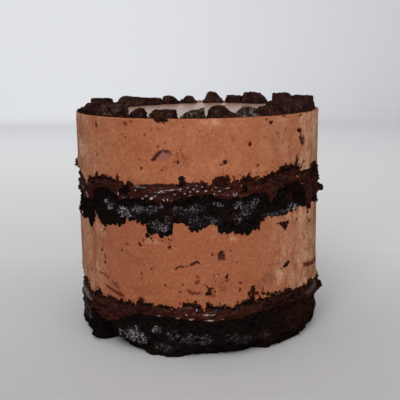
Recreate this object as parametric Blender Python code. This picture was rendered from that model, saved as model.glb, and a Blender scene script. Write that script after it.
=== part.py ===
"""Tall round chocolate mousse cake: six layers cast in a ring, with broken cake chunks round its top edge.

Units are metres, +Z is up and the origin is the centre of the base. Azimuth is in degrees round the cake:
0 is the front, which faces -Y, and 90 is the side that faces +X. Lists round the cake hold millimetres.
"""

import math
import random
from collections import namedtuple

import bmesh
import bpy
from mathutils import Matrix, Vector, noise

MM = 0.001

# A 6 inch cake ring sets the radius, and the photo's proportions set the height of the frosted top
CAKE_RADIUS = 76 * MM
CAKE_TOP = 137 * MM
LAYER_GAP = 0.3 * MM

SIDES = 96
CAP_RING = 0.2
FLAT_FROM = 0.78

# Edges between the layers, as (azimuth, height in mm) where the line turns, from the base up
SPONGE_LOWER_EDGE = (
    (-85, 21.5), (-64, 19.6), (-55, 18.3), (-46, 15.7), (-38, 18.7), (-28, 23.7), (-16, 24.8),
    (0, 23.2), (7, 22.1), (20, 24.3), (30, 27.9), (46, 28.2), (56, 24.6), (77, 18.6), (95, 20.5),
    (120, 24.5), (145, 21.0), (170, 25.2), (195, 23.0), (220, 19.5), (250, 24.0),
)
GANACHE_LOWER_EDGE = (
    (-85, 35.5), (-75, 34.0), (-62, 29.0), (-46, 30.4), (-23, 32.0), (-12, 31.6), (-3, 34.2),
    (8, 29.0), (18, 31.3), (28, 33.9), (40, 33.8), (58, 33.1), (72, 30.3), (105, 33.5), (130, 31.0),
    (150, 34.0), (175, 30.5), (200, 32.5), (225, 35.0), (250, 31.5),
)
MOUSSE_LOWER_EDGE = (
    (-85, 78.5), (-75, 77.5), (-66, 75.2), (-57, 73.6), (-52, 80.6), (-46, 74.2), (-38, 77.7),
    (-30, 81.1), (-24, 78.6), (-19, 74.9), (-13, 73.8), (-9, 80.2), (-1, 75.6), (6, 79.0),
    (12, 74.0), (23, 74.7), (28, 80.2), (42, 79.3), (53, 82.1), (63, 82.8), (80, 80.5), (95, 77.0),
    (108, 74.5), (124, 79.5), (140, 81.0), (154, 76.0), (170, 74.0), (188, 78.5), (206, 80.8),
    (224, 75.5), (242, 73.8), (260, 78.0),
)
SPONGE_UPPER_EDGE = (
    (-85, 93.0), (-68, 91.5), (-60, 88.6), (-53, 93.5), (-45, 95.4), (-36, 91.8), (-20, 92.2),
    (-14, 90.8), (-5, 95.1), (6, 94.7), (14, 92.4), (29, 94.5), (37, 96.4), (49, 95.5), (62, 88.0),
    (75, 86.0), (92, 90.0), (110, 93.5), (130, 91.0), (150, 94.5), (174, 92.0), (196, 90.5),
    (220, 94.0), (246, 91.5),
)
GANACHE_UPPER_EDGE = (
    (-85, 106.5), (-76, 103.5), (-67, 98.6), (-56, 100.5), (-47, 103.6), (-36, 103.4), (-26, 101.0),
    (-14, 102.0), (2, 102.6), (10, 105.0), (21, 103.0), (34, 105.0), (44, 107.4), (49, 110.6),
    (53, 104.6), (70, 101.5), (84, 99.6), (102, 102.0), (120, 104.8), (140, 102.0), (158, 100.6),
    (180, 103.2), (200, 105.4), (220, 102.4), (240, 101.0), (260, 105.0),
)

# Radius of the lowest sponge where it meets what it stands on, in mm, with the broken notch at -48
BASE_EDGE = (
    (-85, 75.0), (-60, 73.5), (-55, 72.0), (-50, 66.0), (-43, 66.2), (-36, 67.8), (-28, 69.4),
    (-22, 73.0), (-13, 73.8), (-9, 69.6), (2, 67.8), (25, 67.4), (36, 70.2), (56, 71.2), (77, 72.3),
    (100, 74.0), (125, 72.0), (150, 70.0), (172, 72.6), (195, 74.0), (215, 70.5), (240, 73.0),
)
UNDERCUT_SHARE = 0.42

# Each kind of layer: its linear colour, the rows of its wall as shares of the height, how deep its crags are
# and how wide, and how far its wall stands out of the ring's line
Kind = namedtuple("Kind", "name color roughness rows crag_depth crag_size bulge")
SPONGE = Kind("sponge", (0.011, 0.007, 0.007), 0.75, (0.14, 0.36, 0.60, 0.84), 1.5 * MM, 6 * MM, -0.3 * MM)
GANACHE = Kind("ganache", (0.030, 0.009, 0.006), 0.25, (0.28, 0.68), 0.8 * MM, 9 * MM, 0.9 * MM)
MOUSSE = Kind("mousse", (0.36, 0.13, 0.066), 0.55, (0.10, 0.50, 0.90), 0.12 * MM, 25 * MM, 0.0)
RIM_CRAG_DEPTH = 0.5 * MM
RIM_CRAG_SIZE = 11 * MM

# Lumps that stand out of the wall, as (azimuth, height, how far out, how wide) in degrees and mm
WALL_LUMPS = ((-88, 103, 1.0, 6), (-87, 35, 0.8, 6), (86, 94, 2.4, 5), (84, 30, 2.4, 5))

# Chunks round the top edge, in degrees and mm. The top's height is given at the rim, for the low and the high
# azimuth, and the tilt is what the inner side adds. The insets draw the top in at the low azimuth, the high
# azimuth and the rim. The setback is the gap to the rim, and the turn is from facing straight out.
Chunk = namedtuple("Chunk", "azimuth width depth low high tilt low_inset high_inset rim_inset setback turn")
CHUNKS = (
    Chunk(-79, 14.0, 14, 3.6, 5.6, 0.8, 1.6, 0.8, 6.0, 0.7, 0),
    Chunk(-63, 12.5, 13, 5.6, 6.4, 0.6, 1.0, 0.8, 2.0, 0.7, 6),
    Chunk(-45.5, 16.0, 11, 5.4, 5.8, 1.0, 0.8, 0.3, 0.8, 0.7, 12),
    Chunk(-28.0, 7.8, 9, 4.6, 4.4, 0.6, 2.4, 1.2, 0.6, 0.8, -4),
    Chunk(-15.6, 13.6, 11, 4.0, 4.2, 0.4, 2.0, 0.3, 0.4, 0.5, 3),
    Chunk(-2.0, 13.6, 10, 2.2, 4.8, 0.8, 1.4, 0.6, 2.4, 0.5, -3),
    Chunk(11.0, 15.0, 12, 5.0, 5.6, 0.7, 2.6, 5.2, 0.8, 0.6, 2),
    Chunk(23.1, 11.8, 11, 5.0, 4.0, 0.6, 4.8, 0.5, 0.8, 0.6, -2),
    Chunk(34.4, 9.8, 11, 4.0, 4.6, 0.8, 0.6, 0.6, 0.6, 0.6, -4),
    Chunk(53.0, 24.0, 16, 4.2, 5.0, 2.6, 1.6, 1.0, 1.2, 0.8, -3),
    Chunk(74.0, 13.0, 14, 5.2, 5.8, 0.8, 1.2, 1.4, 1.0, 0.8, 5),
    Chunk(91.0, 12.0, 12, 7.0, 7.2, -0.2, 0.9, 1.0, 0.6, 0.8, -6),
    Chunk(106.5, 9.0, 10, 6.0, 6.4, 0.0, 2.8, 2.4, 0.4, 1.5, 4),
    Chunk(121.5, 13.4, 11, 6.6, 7.3, -0.2, 3.4, 1.6, 0.6, 1.2, -3),
    Chunk(141.3, 18.4, 12, 5.9, 6.9, -0.2, 8.0, 0.5, 0.4, 0.8, 2),
    Chunk(156.6, 12.0, 11, 3.5, 4.3, 0.0, 0.5, 0.6, 0.3, 0.8, -2),
    Chunk(169.8, 13.4, 12, 6.4, 6.8, -0.3, 6.0, 3.0, 0.5, 1.0, 3),
    Chunk(185.2, 12.2, 13, 3.8, 3.9, 0.0, 3.6, 4.2, 0.3, 2.5, -4),
    Chunk(197.3, 12.0, 15, 5.0, 5.4, 0.0, 6.4, 0.9, 0.5, 4.0, 3),
    Chunk(211.3, 12.6, 16, 3.5, 3.7, 0.1, 0.6, 1.0, 0.5, 4.6, -2),
    Chunk(227.2, 14.6, 17, 4.5, 5.7, 0.0, 0.4, 6.0, 0.8, 4.0, 1),
    Chunk(239.0, 6.6, 13, 2.0, 2.4, 0.3, 1.2, 1.0, 1.0, 3.0, -3),
    Chunk(249.5, 13.2, 13, 5.2, 6.1, 0.0, 1.0, 1.6, 1.2, 1.2, 4),
    Chunk(265.0, 13.0, 12, 3.4, 2.6, 1.0, 1.2, 1.6, 4.6, 0.8, -3),
)
CHUNK_CUTS = 2
CHUNK_CRAG_DEPTH = 0.5 * MM
CHUNK_CRAG_SIZE = 4 * MM
CHUNK_CRAG_SEED = 1796085215
SNAPPED_CORNERS = 3
SNAP_DEPTH = (0.5 * MM, 1.5 * MM)
CHUNK_COLOR = (0.026, 0.011, 0.008)
CHUNK_ROUGHNESS = 0.8


def material(name, color, roughness):
    made = bpy.data.materials.new(name)
    made.use_nodes = True
    shader = made.node_tree.nodes["Principled BSDF"]
    shader.inputs["Base Color"].default_value = (*color, 1.0)
    shader.inputs["Roughness"].default_value = roughness
    shader.inputs["Metallic"].default_value = 0.0
    return made


def round_the_cake(points, azimuth):
    """The value at an azimuth, eased between the points on each side of it."""
    first = points[0][0]
    azimuth = first + (azimuth - first) % 360
    closed = (*points, (first + 360, points[0][1]))
    for (low, low_value), (high, high_value) in zip(closed, closed[1:]):
        if azimuth <= high:
            share = (azimuth - low) / (high - low)
            ease = (1 - math.cos(math.pi * share)) / 2
            return low_value + (high_value - low_value) * ease
    return points[0][1]


def layer_edge(points):
    """The surface between two layers: the listed line at the wall, level with its mean at the centre."""
    mean = sum(value for _, value in points) / len(points)

    def height(azimuth, share):
        line = round_the_cake(points, azimuth)
        return (mean + (line - mean) * min(1.0, share / FLAT_FROM)) * MM

    return height


def level(value):
    """A flat surface at one height."""
    return lambda azimuth, share: value


BASE = level(0)
TOP = level(CAKE_TOP)


def crag(azimuth, height, depth, size, seed):
    """Seamless relief at a place on the wall, from about -depth to depth."""
    angle = math.radians(azimuth)
    around = Vector((math.sin(angle) * CAKE_RADIUS, -math.cos(angle) * CAKE_RADIUS, height))
    return depth * noise.noise(around / size + Vector((seed, 0, 0))) * 2


def lumps(azimuth, height):
    """How far the lumps stand out at a place on the wall."""
    out = 0
    for lump_azimuth, lump_height, proud, width in WALL_LUMPS:
        along = math.radians((azimuth - lump_azimuth + 180) % 360 - 180) * CAKE_RADIUS
        away = math.hypot(along, height - lump_height * MM)
        out += proud * MM * math.exp(-((away / (width * MM)) ** 2))
    return out


def rim_radius(azimuth, height):
    """The radius of the cake where two layers meet, shared by both."""
    return CAKE_RADIUS + crag(azimuth, height, RIM_CRAG_DEPTH, RIM_CRAG_SIZE, 3.7) + lumps(azimuth, height)


def undercut(azimuth, share):
    """How far the lowest sponge curls in from the wall towards the edge of its base."""
    inward = max(0.0, 1 - share / UNDERCUT_SHARE) ** 2
    return (CAKE_RADIUS - round_the_cake(BASE_EDGE, azimuth) * MM) * inward


def split_one_way(face):
    """Splits a quad of an end's ring so that two layers that touch have the same triangles there."""
    for outer in face.verts:
        for inner in face.verts:
            leans = outer.co.x * inner.co.y - outer.co.y * inner.co.x > 0.001
            if leans and outer.co.xy.length > inner.co.xy.length + 0.1:
                bmesh.utils.face_split(face, outer, inner)
                return


def drum(rows):
    """A drum of unit radius and height: its wall cut into rows, and each flat end into a ring and a fan."""
    mesh = bmesh.new()
    bmesh.ops.create_cone(mesh, cap_ends=True, segments=SIDES, radius1=1, radius2=1, depth=1)
    for share in rows:
        everything = mesh.verts[:] + mesh.edges[:] + mesh.faces[:]
        bmesh.ops.bisect_plane(mesh, geom=everything, plane_co=(0, 0, share - 0.5), plane_no=(0, 0, 1))
    ends = [face for face in mesh.faces if len(face.verts) == SIDES]
    ring = bmesh.ops.inset_individual(mesh, faces=ends, thickness=CAP_RING)["faces"]
    for face in ring:
        split_one_way(face)
    bmesh.ops.poke(mesh, faces=[face for face in mesh.faces if len(face.verts) == SIDES])
    bmesh.ops.translate(mesh, verts=mesh.verts, vec=(0, 0, 0.5))
    return mesh


def add_object(name, mesh, surface, collection):
    data = bpy.data.meshes.new(name)
    mesh.to_mesh(data)
    mesh.free()
    data.materials.append(surface)
    data.shade_smooth()
    data.set_sharp_from_angle(angle=math.radians(40))
    made = bpy.data.objects.new(name, data)
    collection.objects.link(made)
    return made


def add_layer(name, bottom, top, kind, surface, collection):
    """One layer of the cake between two edge surfaces, with relief and a bulge on its wall."""
    mesh = drum(kind.rows)
    stands = bottom is BASE
    low_gap = 0 if stands else LAYER_GAP / 2
    high_gap = 0 if top is TOP else LAYER_GAP / 2
    for vertex in mesh.verts:
        share_out = math.hypot(vertex.co.x, vertex.co.y)
        angle = math.atan2(vertex.co.x, -vertex.co.y)
        azimuth = math.degrees(angle)
        share_up = vertex.co.z
        low = bottom(azimuth, share_out)
        high = top(azimuth, share_out)
        height = low + low_gap + (high - high_gap - low - low_gap) * share_up
        if share_out < 0.99:
            radius = CAKE_RADIUS * share_out
        elif share_up > 0.999:
            radius = rim_radius(azimuth, high)
        elif share_up < 0.001 and not stands:
            radius = rim_radius(azimuth, low)
        else:
            radius = CAKE_RADIUS + kind.bulge + lumps(azimuth, height)
            radius += crag(azimuth, height, kind.crag_depth, kind.crag_size, len(name))
            radius -= undercut(azimuth, share_up) if stands else 0
        vertex.co = (math.sin(angle) * radius, -math.cos(angle) * radius, height)
    add_object(name, mesh, surface, collection)


def chunk_shape(chunk, x, y, z):
    """A point of the chunk's block, from its place in a cube of 1 whose base is at z = 0."""
    low_inset, high_inset = chunk.low_inset * z, chunk.high_inset * z
    across = x * (chunk.width - low_inset - high_inset) + (low_inset - high_inset) / 2
    inward = y * (chunk.depth - chunk.rim_inset * z) + chunk.rim_inset * z / 2
    height = chunk.low + (chunk.high - chunk.low) * (x + 0.5) + chunk.tilt * (y + 0.5)
    return Vector((across, inward, height * z)) * MM


def snap_corner(mesh, corner, dice):
    """Breaks off a top corner of the chunk along a plane."""
    side = Vector((math.copysign(1, corner.x), math.copysign(1, corner.y), 0))
    normal = Vector((side.x * dice.uniform(0.3, 0.9), side.y * dice.uniform(0.3, 0.9), 0.8)).normalized()
    snapped = bmesh.ops.bisect_plane(
        mesh,
        geom=mesh.verts[:] + mesh.edges[:] + mesh.faces[:],
        plane_co=corner - normal * dice.uniform(*SNAP_DEPTH),
        plane_no=normal,
        clear_outer=True,
    )
    rim = [part for part in snapped["geom_cut"] if isinstance(part, bmesh.types.BMEdge)]
    bmesh.ops.holes_fill(mesh, edges=rim)


def add_chunk(name, chunk, seed, surface, collection):
    """A broken piece of cake: a block with crumbly faces, drawn in at the top and snapped at its corners."""
    dice = random.Random(seed)
    mesh = bmesh.new()
    bmesh.ops.create_cube(mesh, size=1)
    bmesh.ops.subdivide_edges(mesh, edges=mesh.edges[:], cuts=CHUNK_CUTS, use_grid_fill=True)
    offset = Vector((seed * 7.3, seed * 3.1, 0))
    for vertex in mesh.verts:
        share_up = vertex.co.z + 0.5
        vertex.co = chunk_shape(chunk, vertex.co.x, vertex.co.y, share_up)
        push = noise.noise_vector(vertex.co / CHUNK_CRAG_SIZE + offset) * CHUNK_CRAG_DEPTH
        push.z *= share_up
        vertex.co += push
    for x, y in dice.sample([(-0.5, -0.5), (0.5, -0.5), (-0.5, 0.5), (0.5, 0.5)], SNAPPED_CORNERS):
        snap_corner(mesh, chunk_shape(chunk, x, y, 1), dice)
    bmesh.ops.triangulate(mesh, faces=[face for face in mesh.faces if len(face.verts) > 4])
    made = add_object(name, mesh, surface, collection)

    around = math.radians(chunk.azimuth)
    turn = math.radians(chunk.turn)
    reach = CAKE_RADIUS - chunk.setback * MM
    distance = reach
    for x in (-0.5, 0.5):
        corner = Matrix.Rotation(turn, 3, "Z") @ chunk_shape(chunk, x, -0.5, 0)
        distance = min(distance, math.sqrt(reach**2 - corner.x**2) + corner.y)
    made.location = (math.sin(around) * distance, -math.cos(around) * distance, CAKE_TOP + LAYER_GAP)
    made.rotation_euler.z = around + turn


def build():
    for old in list(bpy.data.objects):
        bpy.data.objects.remove(old)
    cake = bpy.data.collections.new("chocolate_cake")
    bpy.context.scene.collection.children.link(cake)

    layers = (
        ("sponge_lower", SPONGE, SPONGE_LOWER_EDGE),
        ("ganache_lower", GANACHE, GANACHE_LOWER_EDGE),
        ("mousse_lower", MOUSSE, MOUSSE_LOWER_EDGE),
        ("sponge_upper", SPONGE, SPONGE_UPPER_EDGE),
        ("ganache_upper", GANACHE, GANACHE_UPPER_EDGE),
        ("mousse_upper", MOUSSE, None),
    )
    surfaces = {kind: material(kind.name, kind.color, kind.roughness) for kind in (SPONGE, GANACHE, MOUSSE)}
    bottom = BASE
    for name, kind, edge in layers:
        top = layer_edge(edge) if edge else TOP
        add_layer(name, bottom, top, kind, surfaces[kind], cake)
        bottom = top

    crumb = material("chunk", CHUNK_COLOR, CHUNK_ROUGHNESS)
    noise.seed_set(CHUNK_CRAG_SEED)  # without a seed, noise_vector changes each time Blender starts
    for number, chunk in enumerate(CHUNKS, start=1):
        add_chunk(f"chunk_{number:02d}", chunk, number, crumb, cake)


build()
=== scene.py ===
import math
import random

import bmesh
import bpy
import numpy as np
from mathutils import Euler, Matrix, Vector, kdtree, noise


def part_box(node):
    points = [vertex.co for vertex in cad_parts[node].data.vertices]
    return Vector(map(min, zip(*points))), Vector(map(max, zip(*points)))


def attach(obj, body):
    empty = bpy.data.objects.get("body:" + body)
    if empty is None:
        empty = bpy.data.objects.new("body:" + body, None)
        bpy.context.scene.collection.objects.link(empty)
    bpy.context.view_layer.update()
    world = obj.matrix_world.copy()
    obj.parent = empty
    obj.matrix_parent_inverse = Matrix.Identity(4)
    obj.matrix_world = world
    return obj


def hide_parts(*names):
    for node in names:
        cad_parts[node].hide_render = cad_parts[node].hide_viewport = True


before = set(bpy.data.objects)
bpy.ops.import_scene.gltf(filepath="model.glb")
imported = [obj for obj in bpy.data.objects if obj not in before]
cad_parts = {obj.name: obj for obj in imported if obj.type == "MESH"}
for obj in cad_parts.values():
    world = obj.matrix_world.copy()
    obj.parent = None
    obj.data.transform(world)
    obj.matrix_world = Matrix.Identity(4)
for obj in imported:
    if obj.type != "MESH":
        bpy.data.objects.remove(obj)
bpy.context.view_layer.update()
print("frame loaded with", len(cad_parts), "nodes")
noise.seed_set(5)  # without a seed, noise_vector changes from run to run

mm = 0.001
ringRadius = 76 * mm  # the ring that the cake was cast in
cadSides = 96  # columns of points round the wall of a CAD layer
wallFrom = 63 * mm  # a CAD layer's points further out than this are on its wall
rowGap = 0.1 * mm  # a CAD layer's points closer in height than this are one
weld = 0.001 * mm  # points closer together than this are merged

# Azimuth is in degrees round the cake: 0 is the front, 90 the side at +X. Lists of marks hold degrees and mm.


def upward(height):
    return Vector((0, 0, height))


def direction(azimuth):
    angle = math.radians(azimuth)
    return Vector((math.sin(angle), -math.cos(angle), 0))


def azimuthOf(point):
    return math.degrees(math.atan2(point.x, -point.y))


def onWall(azimuth, height, radius=ringRadius):
    return direction(azimuth) * radius + upward(height)


# Degrees as mm along the wall
def alongWall(degrees):
    return math.radians(degrees) * ringRadius / mm


def unit(value):
    return min(1, max(0, value))


def eased(share):
    return share * share * (3 - 2 * share)


# A closed curve through evenly spaced values, read at turns from -0.5 to 0.5
def aroundCurve(values, turns):
    count = len(values)
    at = turns * count
    first = np.floor(at).astype(int)
    share = at - first
    a, b, c, d = (values[(first + step) % count] for step in (-1, 0, 1, 2))
    return b + 0.5 * share * (c - a + share * (2 * a - 5 * b + 4 * c - d + share * (3 * (b - c) + d - a)))


# A value that eases between (azimuth, value) pairs round the cake
def aroundList(pairs, azimuths):
    at, values = zip(*pairs)
    return np.interp(azimuths, at, values, period=360)


# The CAD wall of a layer as columns of (height, radius), from the lowest point up
def readWall(node):
    columns = [[] for _ in range(cadSides)]
    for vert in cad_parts[node].data.vertices:
        radius = vert.co.xy.length
        if radius > wallFrom:
            columns[round(azimuthOf(vert.co) / 360 * cadSides) % cadSides].append((vert.co.z, radius))
    wall = []
    for column in columns:
        rows = []
        for place in sorted(column):
            if not rows or place[0] > rows[-1][0] + rowGap:
                rows.append(place)
        wall.append(rows)
    return np.array(wall)


# Relief is in mm at a point in mm, positive outwards
def waves(point, height, length):
    return height * noise.noise(point / length)


# The part of a noise above a threshold, as how far it rises
def peaks(point, height, length, threshold, shift=(0, 0, 0)):
    return max(0, noise.noise(point / length + Vector(shift)) - threshold) * height


# Several waves, each a height and a length, added to a relief
def addWaves(relief, point, pairs):
    for height, length in pairs:
        relief += waves(point, height, length)
    return relief


crumbForm = {
    "bend": 0.7,
    "bendLength": 2.5,
    "bulge": 0.75,  # share of a crumb's size, as the next two are
    "hollow": 1.7,
    "hollowLength": 1.4,
    "hollowFrom": 0.22,
    "hollowShift": (50, 0, 0),
    "waves": ((0.7, 6), (0.45, 1.1)),
}


def crumbRelief(point, size):
    form = crumbForm
    bend = noise.noise_vector(point / form["bendLength"]) * form["bend"]
    nearest = noise.voronoi((point + bend) / size)[0][0]
    bulge = (0.5 - nearest) * form["bulge"] * size
    length = form["hollowLength"] * size
    hollow = peaks(point, form["hollow"], length, form["hollowFrom"], form["hollowShift"]) * size
    return addWaves(bulge - hollow, point, form["waves"])


foldForm = {
    "bend": 3,
    "bendLength": 8,
    "long": 11,  # a fold is long round the cake
    "tall": 2.0,
    "ridge": 0.8,
    "crease": 2.6,  # how narrow the ridges are
    "wave": (0.3, 3),
    "sink": 0.3,
}


def foldRelief(point):
    bent = point + noise.noise_vector(point / foldForm["bendLength"]) * foldForm["bend"]
    long, tall = foldForm["long"], foldForm["tall"]
    crease = abs(noise.noise(Vector((bent.x / long, bent.y / long, bent.z / tall))))
    ridge = foldForm["ridge"] * (1 - crease * foldForm["crease"])
    return ridge + waves(bent, *foldForm["wave"]) - foldForm["sink"]


mousseWaves = ((0.15, 22), (0.07, 4), (0.05, 1.3))


def mousseRelief(point, *_):
    return addWaves(0, point, mousseWaves)


spongeForm = {
    "crumb": 2.2,
    "edgeBand": 2.5,  # how far from its edges it has its full relief
    "edgeHollow": 0.45,  # share of a hollow's depth that is left at an edge
    "edgeOut": 0.35,
    "bump": 0.8,
    "out": 0.2,
}


# Sponge: its hollows are shallow near its edges, so that nothing shows through
def spongeRelief(point, paint, fromLow, fromHigh):
    form = spongeForm
    relief = crumbRelief(point, form["crumb"])
    near = unit(min(fromLow, fromHigh) / form["edgeBand"])
    if relief >= 0:
        return relief * form["bump"] + form["out"]
    depth = form["edgeHollow"] + (1 - form["edgeHollow"]) * near
    return relief * depth + form["edgeOut"] * (1 - near)


ganacheForm = {
    "crumb": 2.1,
    "crumbHeight": 1.25,
    "edgeBand": 2,
    "deepest": 1.6,
    "glossLess": 0.7,  # how much less deep it is where it is glossy
    "edgeOut": 0.45,
    "out": 0.25,
}


# Ganache: folds where it is glossy and crumbs where it is not
def ganacheRelief(point, gloss, fromLow, fromHigh, folds=1.0):
    form = ganacheForm
    crumbs = (1 - gloss) * crumbRelief(point, form["crumb"]) * form["crumbHeight"]
    near = unit(min(fromLow, fromHigh) / form["edgeBand"])
    deepest = -(form["deepest"] - form["glossLess"] * gloss) * near
    relief = max(gloss * folds * foldRelief(point) + crumbs, deepest)
    return relief + form["edgeOut"] * (1 - near) + form["out"]


topForm = {
    "lip": 0.5,
    "lipIn": 1.0,  # how far in from the rim the lip is highest
    "lipWidth": 1.3,
    "sink": 0.6,
    "sinkFrom": 1.5,
    "sinkOver": 3,
    "wave": (0.12, 9),
}


# The top: a low lip at the rim and a level middle
def topRelief(point):
    inside = ringRadius / mm - point.length
    lip = topForm["lip"] * math.exp(-(((inside - topForm["lipIn"]) / topForm["lipWidth"]) ** 2))
    sunk = -topForm["sink"] * min(1, max(0, inside - topForm["sinkFrom"]) / topForm["sinkOver"])
    return lip + sunk + waves(point, *topForm["wave"])


ragged = {
    "seedRise": 31,  # how far apart the noises of two lines are
    "steps": ((2.2, 3.4), (2.2, 9)),
    "step": 0.9,
    "waves": ((0.9, 1.6), (0.45, 0.7)),
    "tooth": 7,
    "toothLength": 2.1,
    "toothFrom": 0.28,
    "toothShift": (9, 9, 9),
}


# Ragged steps and teeth in mm round a line
def raggedLine(azimuths, seed):
    heights = []
    for azimuth in azimuths:
        point = direction(azimuth) * ringRadius / mm + upward(seed * ragged["seedRise"])
        step = round(addWaves(0, point, ragged["steps"])) * ragged["step"]
        wave = addWaves(0, point, ragged["waves"])
        tooth = peaks(point, ragged["tooth"], ragged["toothLength"], ragged["toothFrom"],
                      ragged["toothShift"])
        heights.append(step + wave + tooth)
    return np.array(heights)


edge = {
    "cliff": 3.5,  # listed points closer than this in degrees are joined by a steep step
    "cliffSteep": 2.6,
    "slopeSteep": 1.2,
    "fade": 7,  # degrees over which the listed line gives way to the CAD's own
}


# The line between two layers: listed points across the front, and the CAD's own ragged line elsewhere
def edgeLine(line, azimuths):
    cad = aroundCurve(readWall(line["node"])[:, -1, 0], azimuths / 360)
    picked = line["picked"]
    places, tops = np.array(picked).T
    after = np.clip(np.searchsorted(places, azimuths), 1, len(places) - 1)
    span = places[after] - places[after - 1]
    share = (azimuths - places[after - 1]) / span
    steep = np.where(span < edge["cliff"], edge["cliffSteep"], edge["slopeSteep"])
    share = eased(np.clip((share - 0.5) * steep + 0.5, 0, 1))
    values = (tops[after - 1] + (tops[after] - tops[after - 1]) * share) * mm
    outside = np.maximum(0, np.maximum(picked[0][0] - azimuths, azimuths - picked[-1][0]))
    share = np.clip(1 - outside / edge["fade"], 0, 1)
    height = line["fine"] * share + line["wild"] * (1 - share)
    return cad + (values - cad) * share + raggedLine(azimuths, line["seed"]) * height * mm


# Columns round a wall, closer together across the front
def columnAzimuths(columns, frontTo=92, frontHalf=0.29):
    front = round(columns * frontHalf) * 2
    back = (columns - front) // 2
    return np.concatenate([
        np.linspace(-180, -frontTo, back + 1)[:-1],
        np.linspace(-frontTo, frontTo, front + 1)[:-1],
        np.linspace(frontTo, 180, back + 1),
    ])


def floatLayer(mesh, name):
    return mesh.verts.layers.float.get(name) or mesh.verts.layers.float.new(name)


def pushAndPaint(vert, paint, share, out, value):
    vert.co += vert.co.xy.normalized().to_3d() * out * mm * share
    vert[paint] = max(vert[paint], value * share)


# How sharp the rim of each kind of mark is, and how uneven its outline
markEdges = {"holeShade": (3.6, 0.22), "smear": (2.4, 0.4), "porous": (2.6, 0.5), "paintedSparkle": (2.0, 0.5),
             "sheenFilm": (1.5, 0.4), "brown": (1.5, 0.6), "gloss": (2.4, 0.4), "paintedGreySheen": (1.5, 0.9),
             "pale": (1.5, 0.6)}
markRipple = 1.5 * mm  # how far apart the bumps of an outline are
patchRipple = 1.3 * mm


# Marks on a wall: how far out each pushes it at its middle, and the value it paints there
def addMarks(mesh, marks):
    tree = kdtree.KDTree(len(mesh.verts))
    for vert in mesh.verts:
        tree.insert(vert.co, vert.index)
    tree.balance()
    mesh.verts.ensure_lookup_table()
    for kind, places in marks.items():
        paint = floatLayer(mesh, kind)
        sharp, uneven = markEdges[kind]
        for azimuth, height, across, tall, *turned, value in places:
            turn, out = turned or (0, 0)
            lean = math.radians(turn)
            reach = max(across, tall) / 2 * 1.3 + 2  # far enough for the bumps of its outline
            for _, index, _ in tree.find_range(onWall(azimuth, height * mm), reach * mm):
                vert = mesh.verts[index]
                along = alongWall((azimuthOf(vert.co) - azimuth + 180) % 360 - 180)
                up = vert.co.z / mm - height
                x = (along * math.cos(lean) + up * math.sin(lean)) / (across / 2)
                y = (up * math.cos(lean) - along * math.sin(lean)) / (tall / 2)
                away = math.hypot(x, y) * (1 + uneven * noise.noise(vert.co / markRipple))
                if away < 1:
                    pushAndPaint(vert, paint, eased(min(1, (1 - away) * sharp)), out, value)


# How far in mm a place lies inside an outline, below 0 outside it
def insideOutline(x, y, corners):
    inside = False
    nearest = math.inf
    for (ax, ay), (bx, by) in zip(corners, corners[1:] + corners[:1]):
        if (ay > y) != (by > y) and x < ax + (bx - ax) * (y - ay) / (by - ay):
            inside = not inside
        length = (bx - ax) ** 2 + (by - ay) ** 2
        share = unit(((x - ax) * (bx - ax) + (y - ay) * (by - ay)) / length)
        nearest = min(nearest, math.hypot(x - ax - share * (bx - ax), y - ay - share * (by - ay)))
    return nearest if inside else -nearest


# Voids and smears with listed outlines. Each has the softness and unevenness of its edge in mm, how far out
# it is pushed, the value that it paints and its outline.
def addPatches(mesh, patches):
    for kind, soft, uneven, out, value, outline in patches:
        paint = floatLayer(mesh, kind)
        around, tall = zip(*outline)
        corners = [(alongWall(azimuth), height) for azimuth, height in outline]
        for vert in mesh.verts:
            height = vert.co.z / mm
            azimuth = azimuthOf(vert.co)
            if not (min(tall) < height < max(tall) and min(around) < azimuth < max(around)):
                continue
            if vert.co.xy.length < ringRadius - 4 * mm:  # on a hidden face
                continue
            away = insideOutline(alongWall(azimuth), height, corners)
            share = eased(unit((away + uneven * noise.noise(vert.co / patchRipple)) / soft))
            pushAndPaint(vert, paint, share, out, value)


# Shares of the radius at which the hidden faces of a layer have rings of points
hiddenRings = (0, 0.4, 0.78, 0.93, 0.985)
layerForm = {
    "tuck": 2.2,  # how far in mm the rows that reach under the next layer lie inside the wall
    "hiddenInset": 0.5,  # how far further in the hidden faces start
    "levelInside": 0.78,  # share of the radius inside which they are level
    "topEdge": 0.985,  # share of the radius outside which the top has the wall's finish
    "topFade": 0.03,
    "liftBelow": 14 * mm,  # a lift fades out up to this height
    "liftOutside": 0.6 * ringRadius,
    "liftSharp": 1.6,
}


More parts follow.
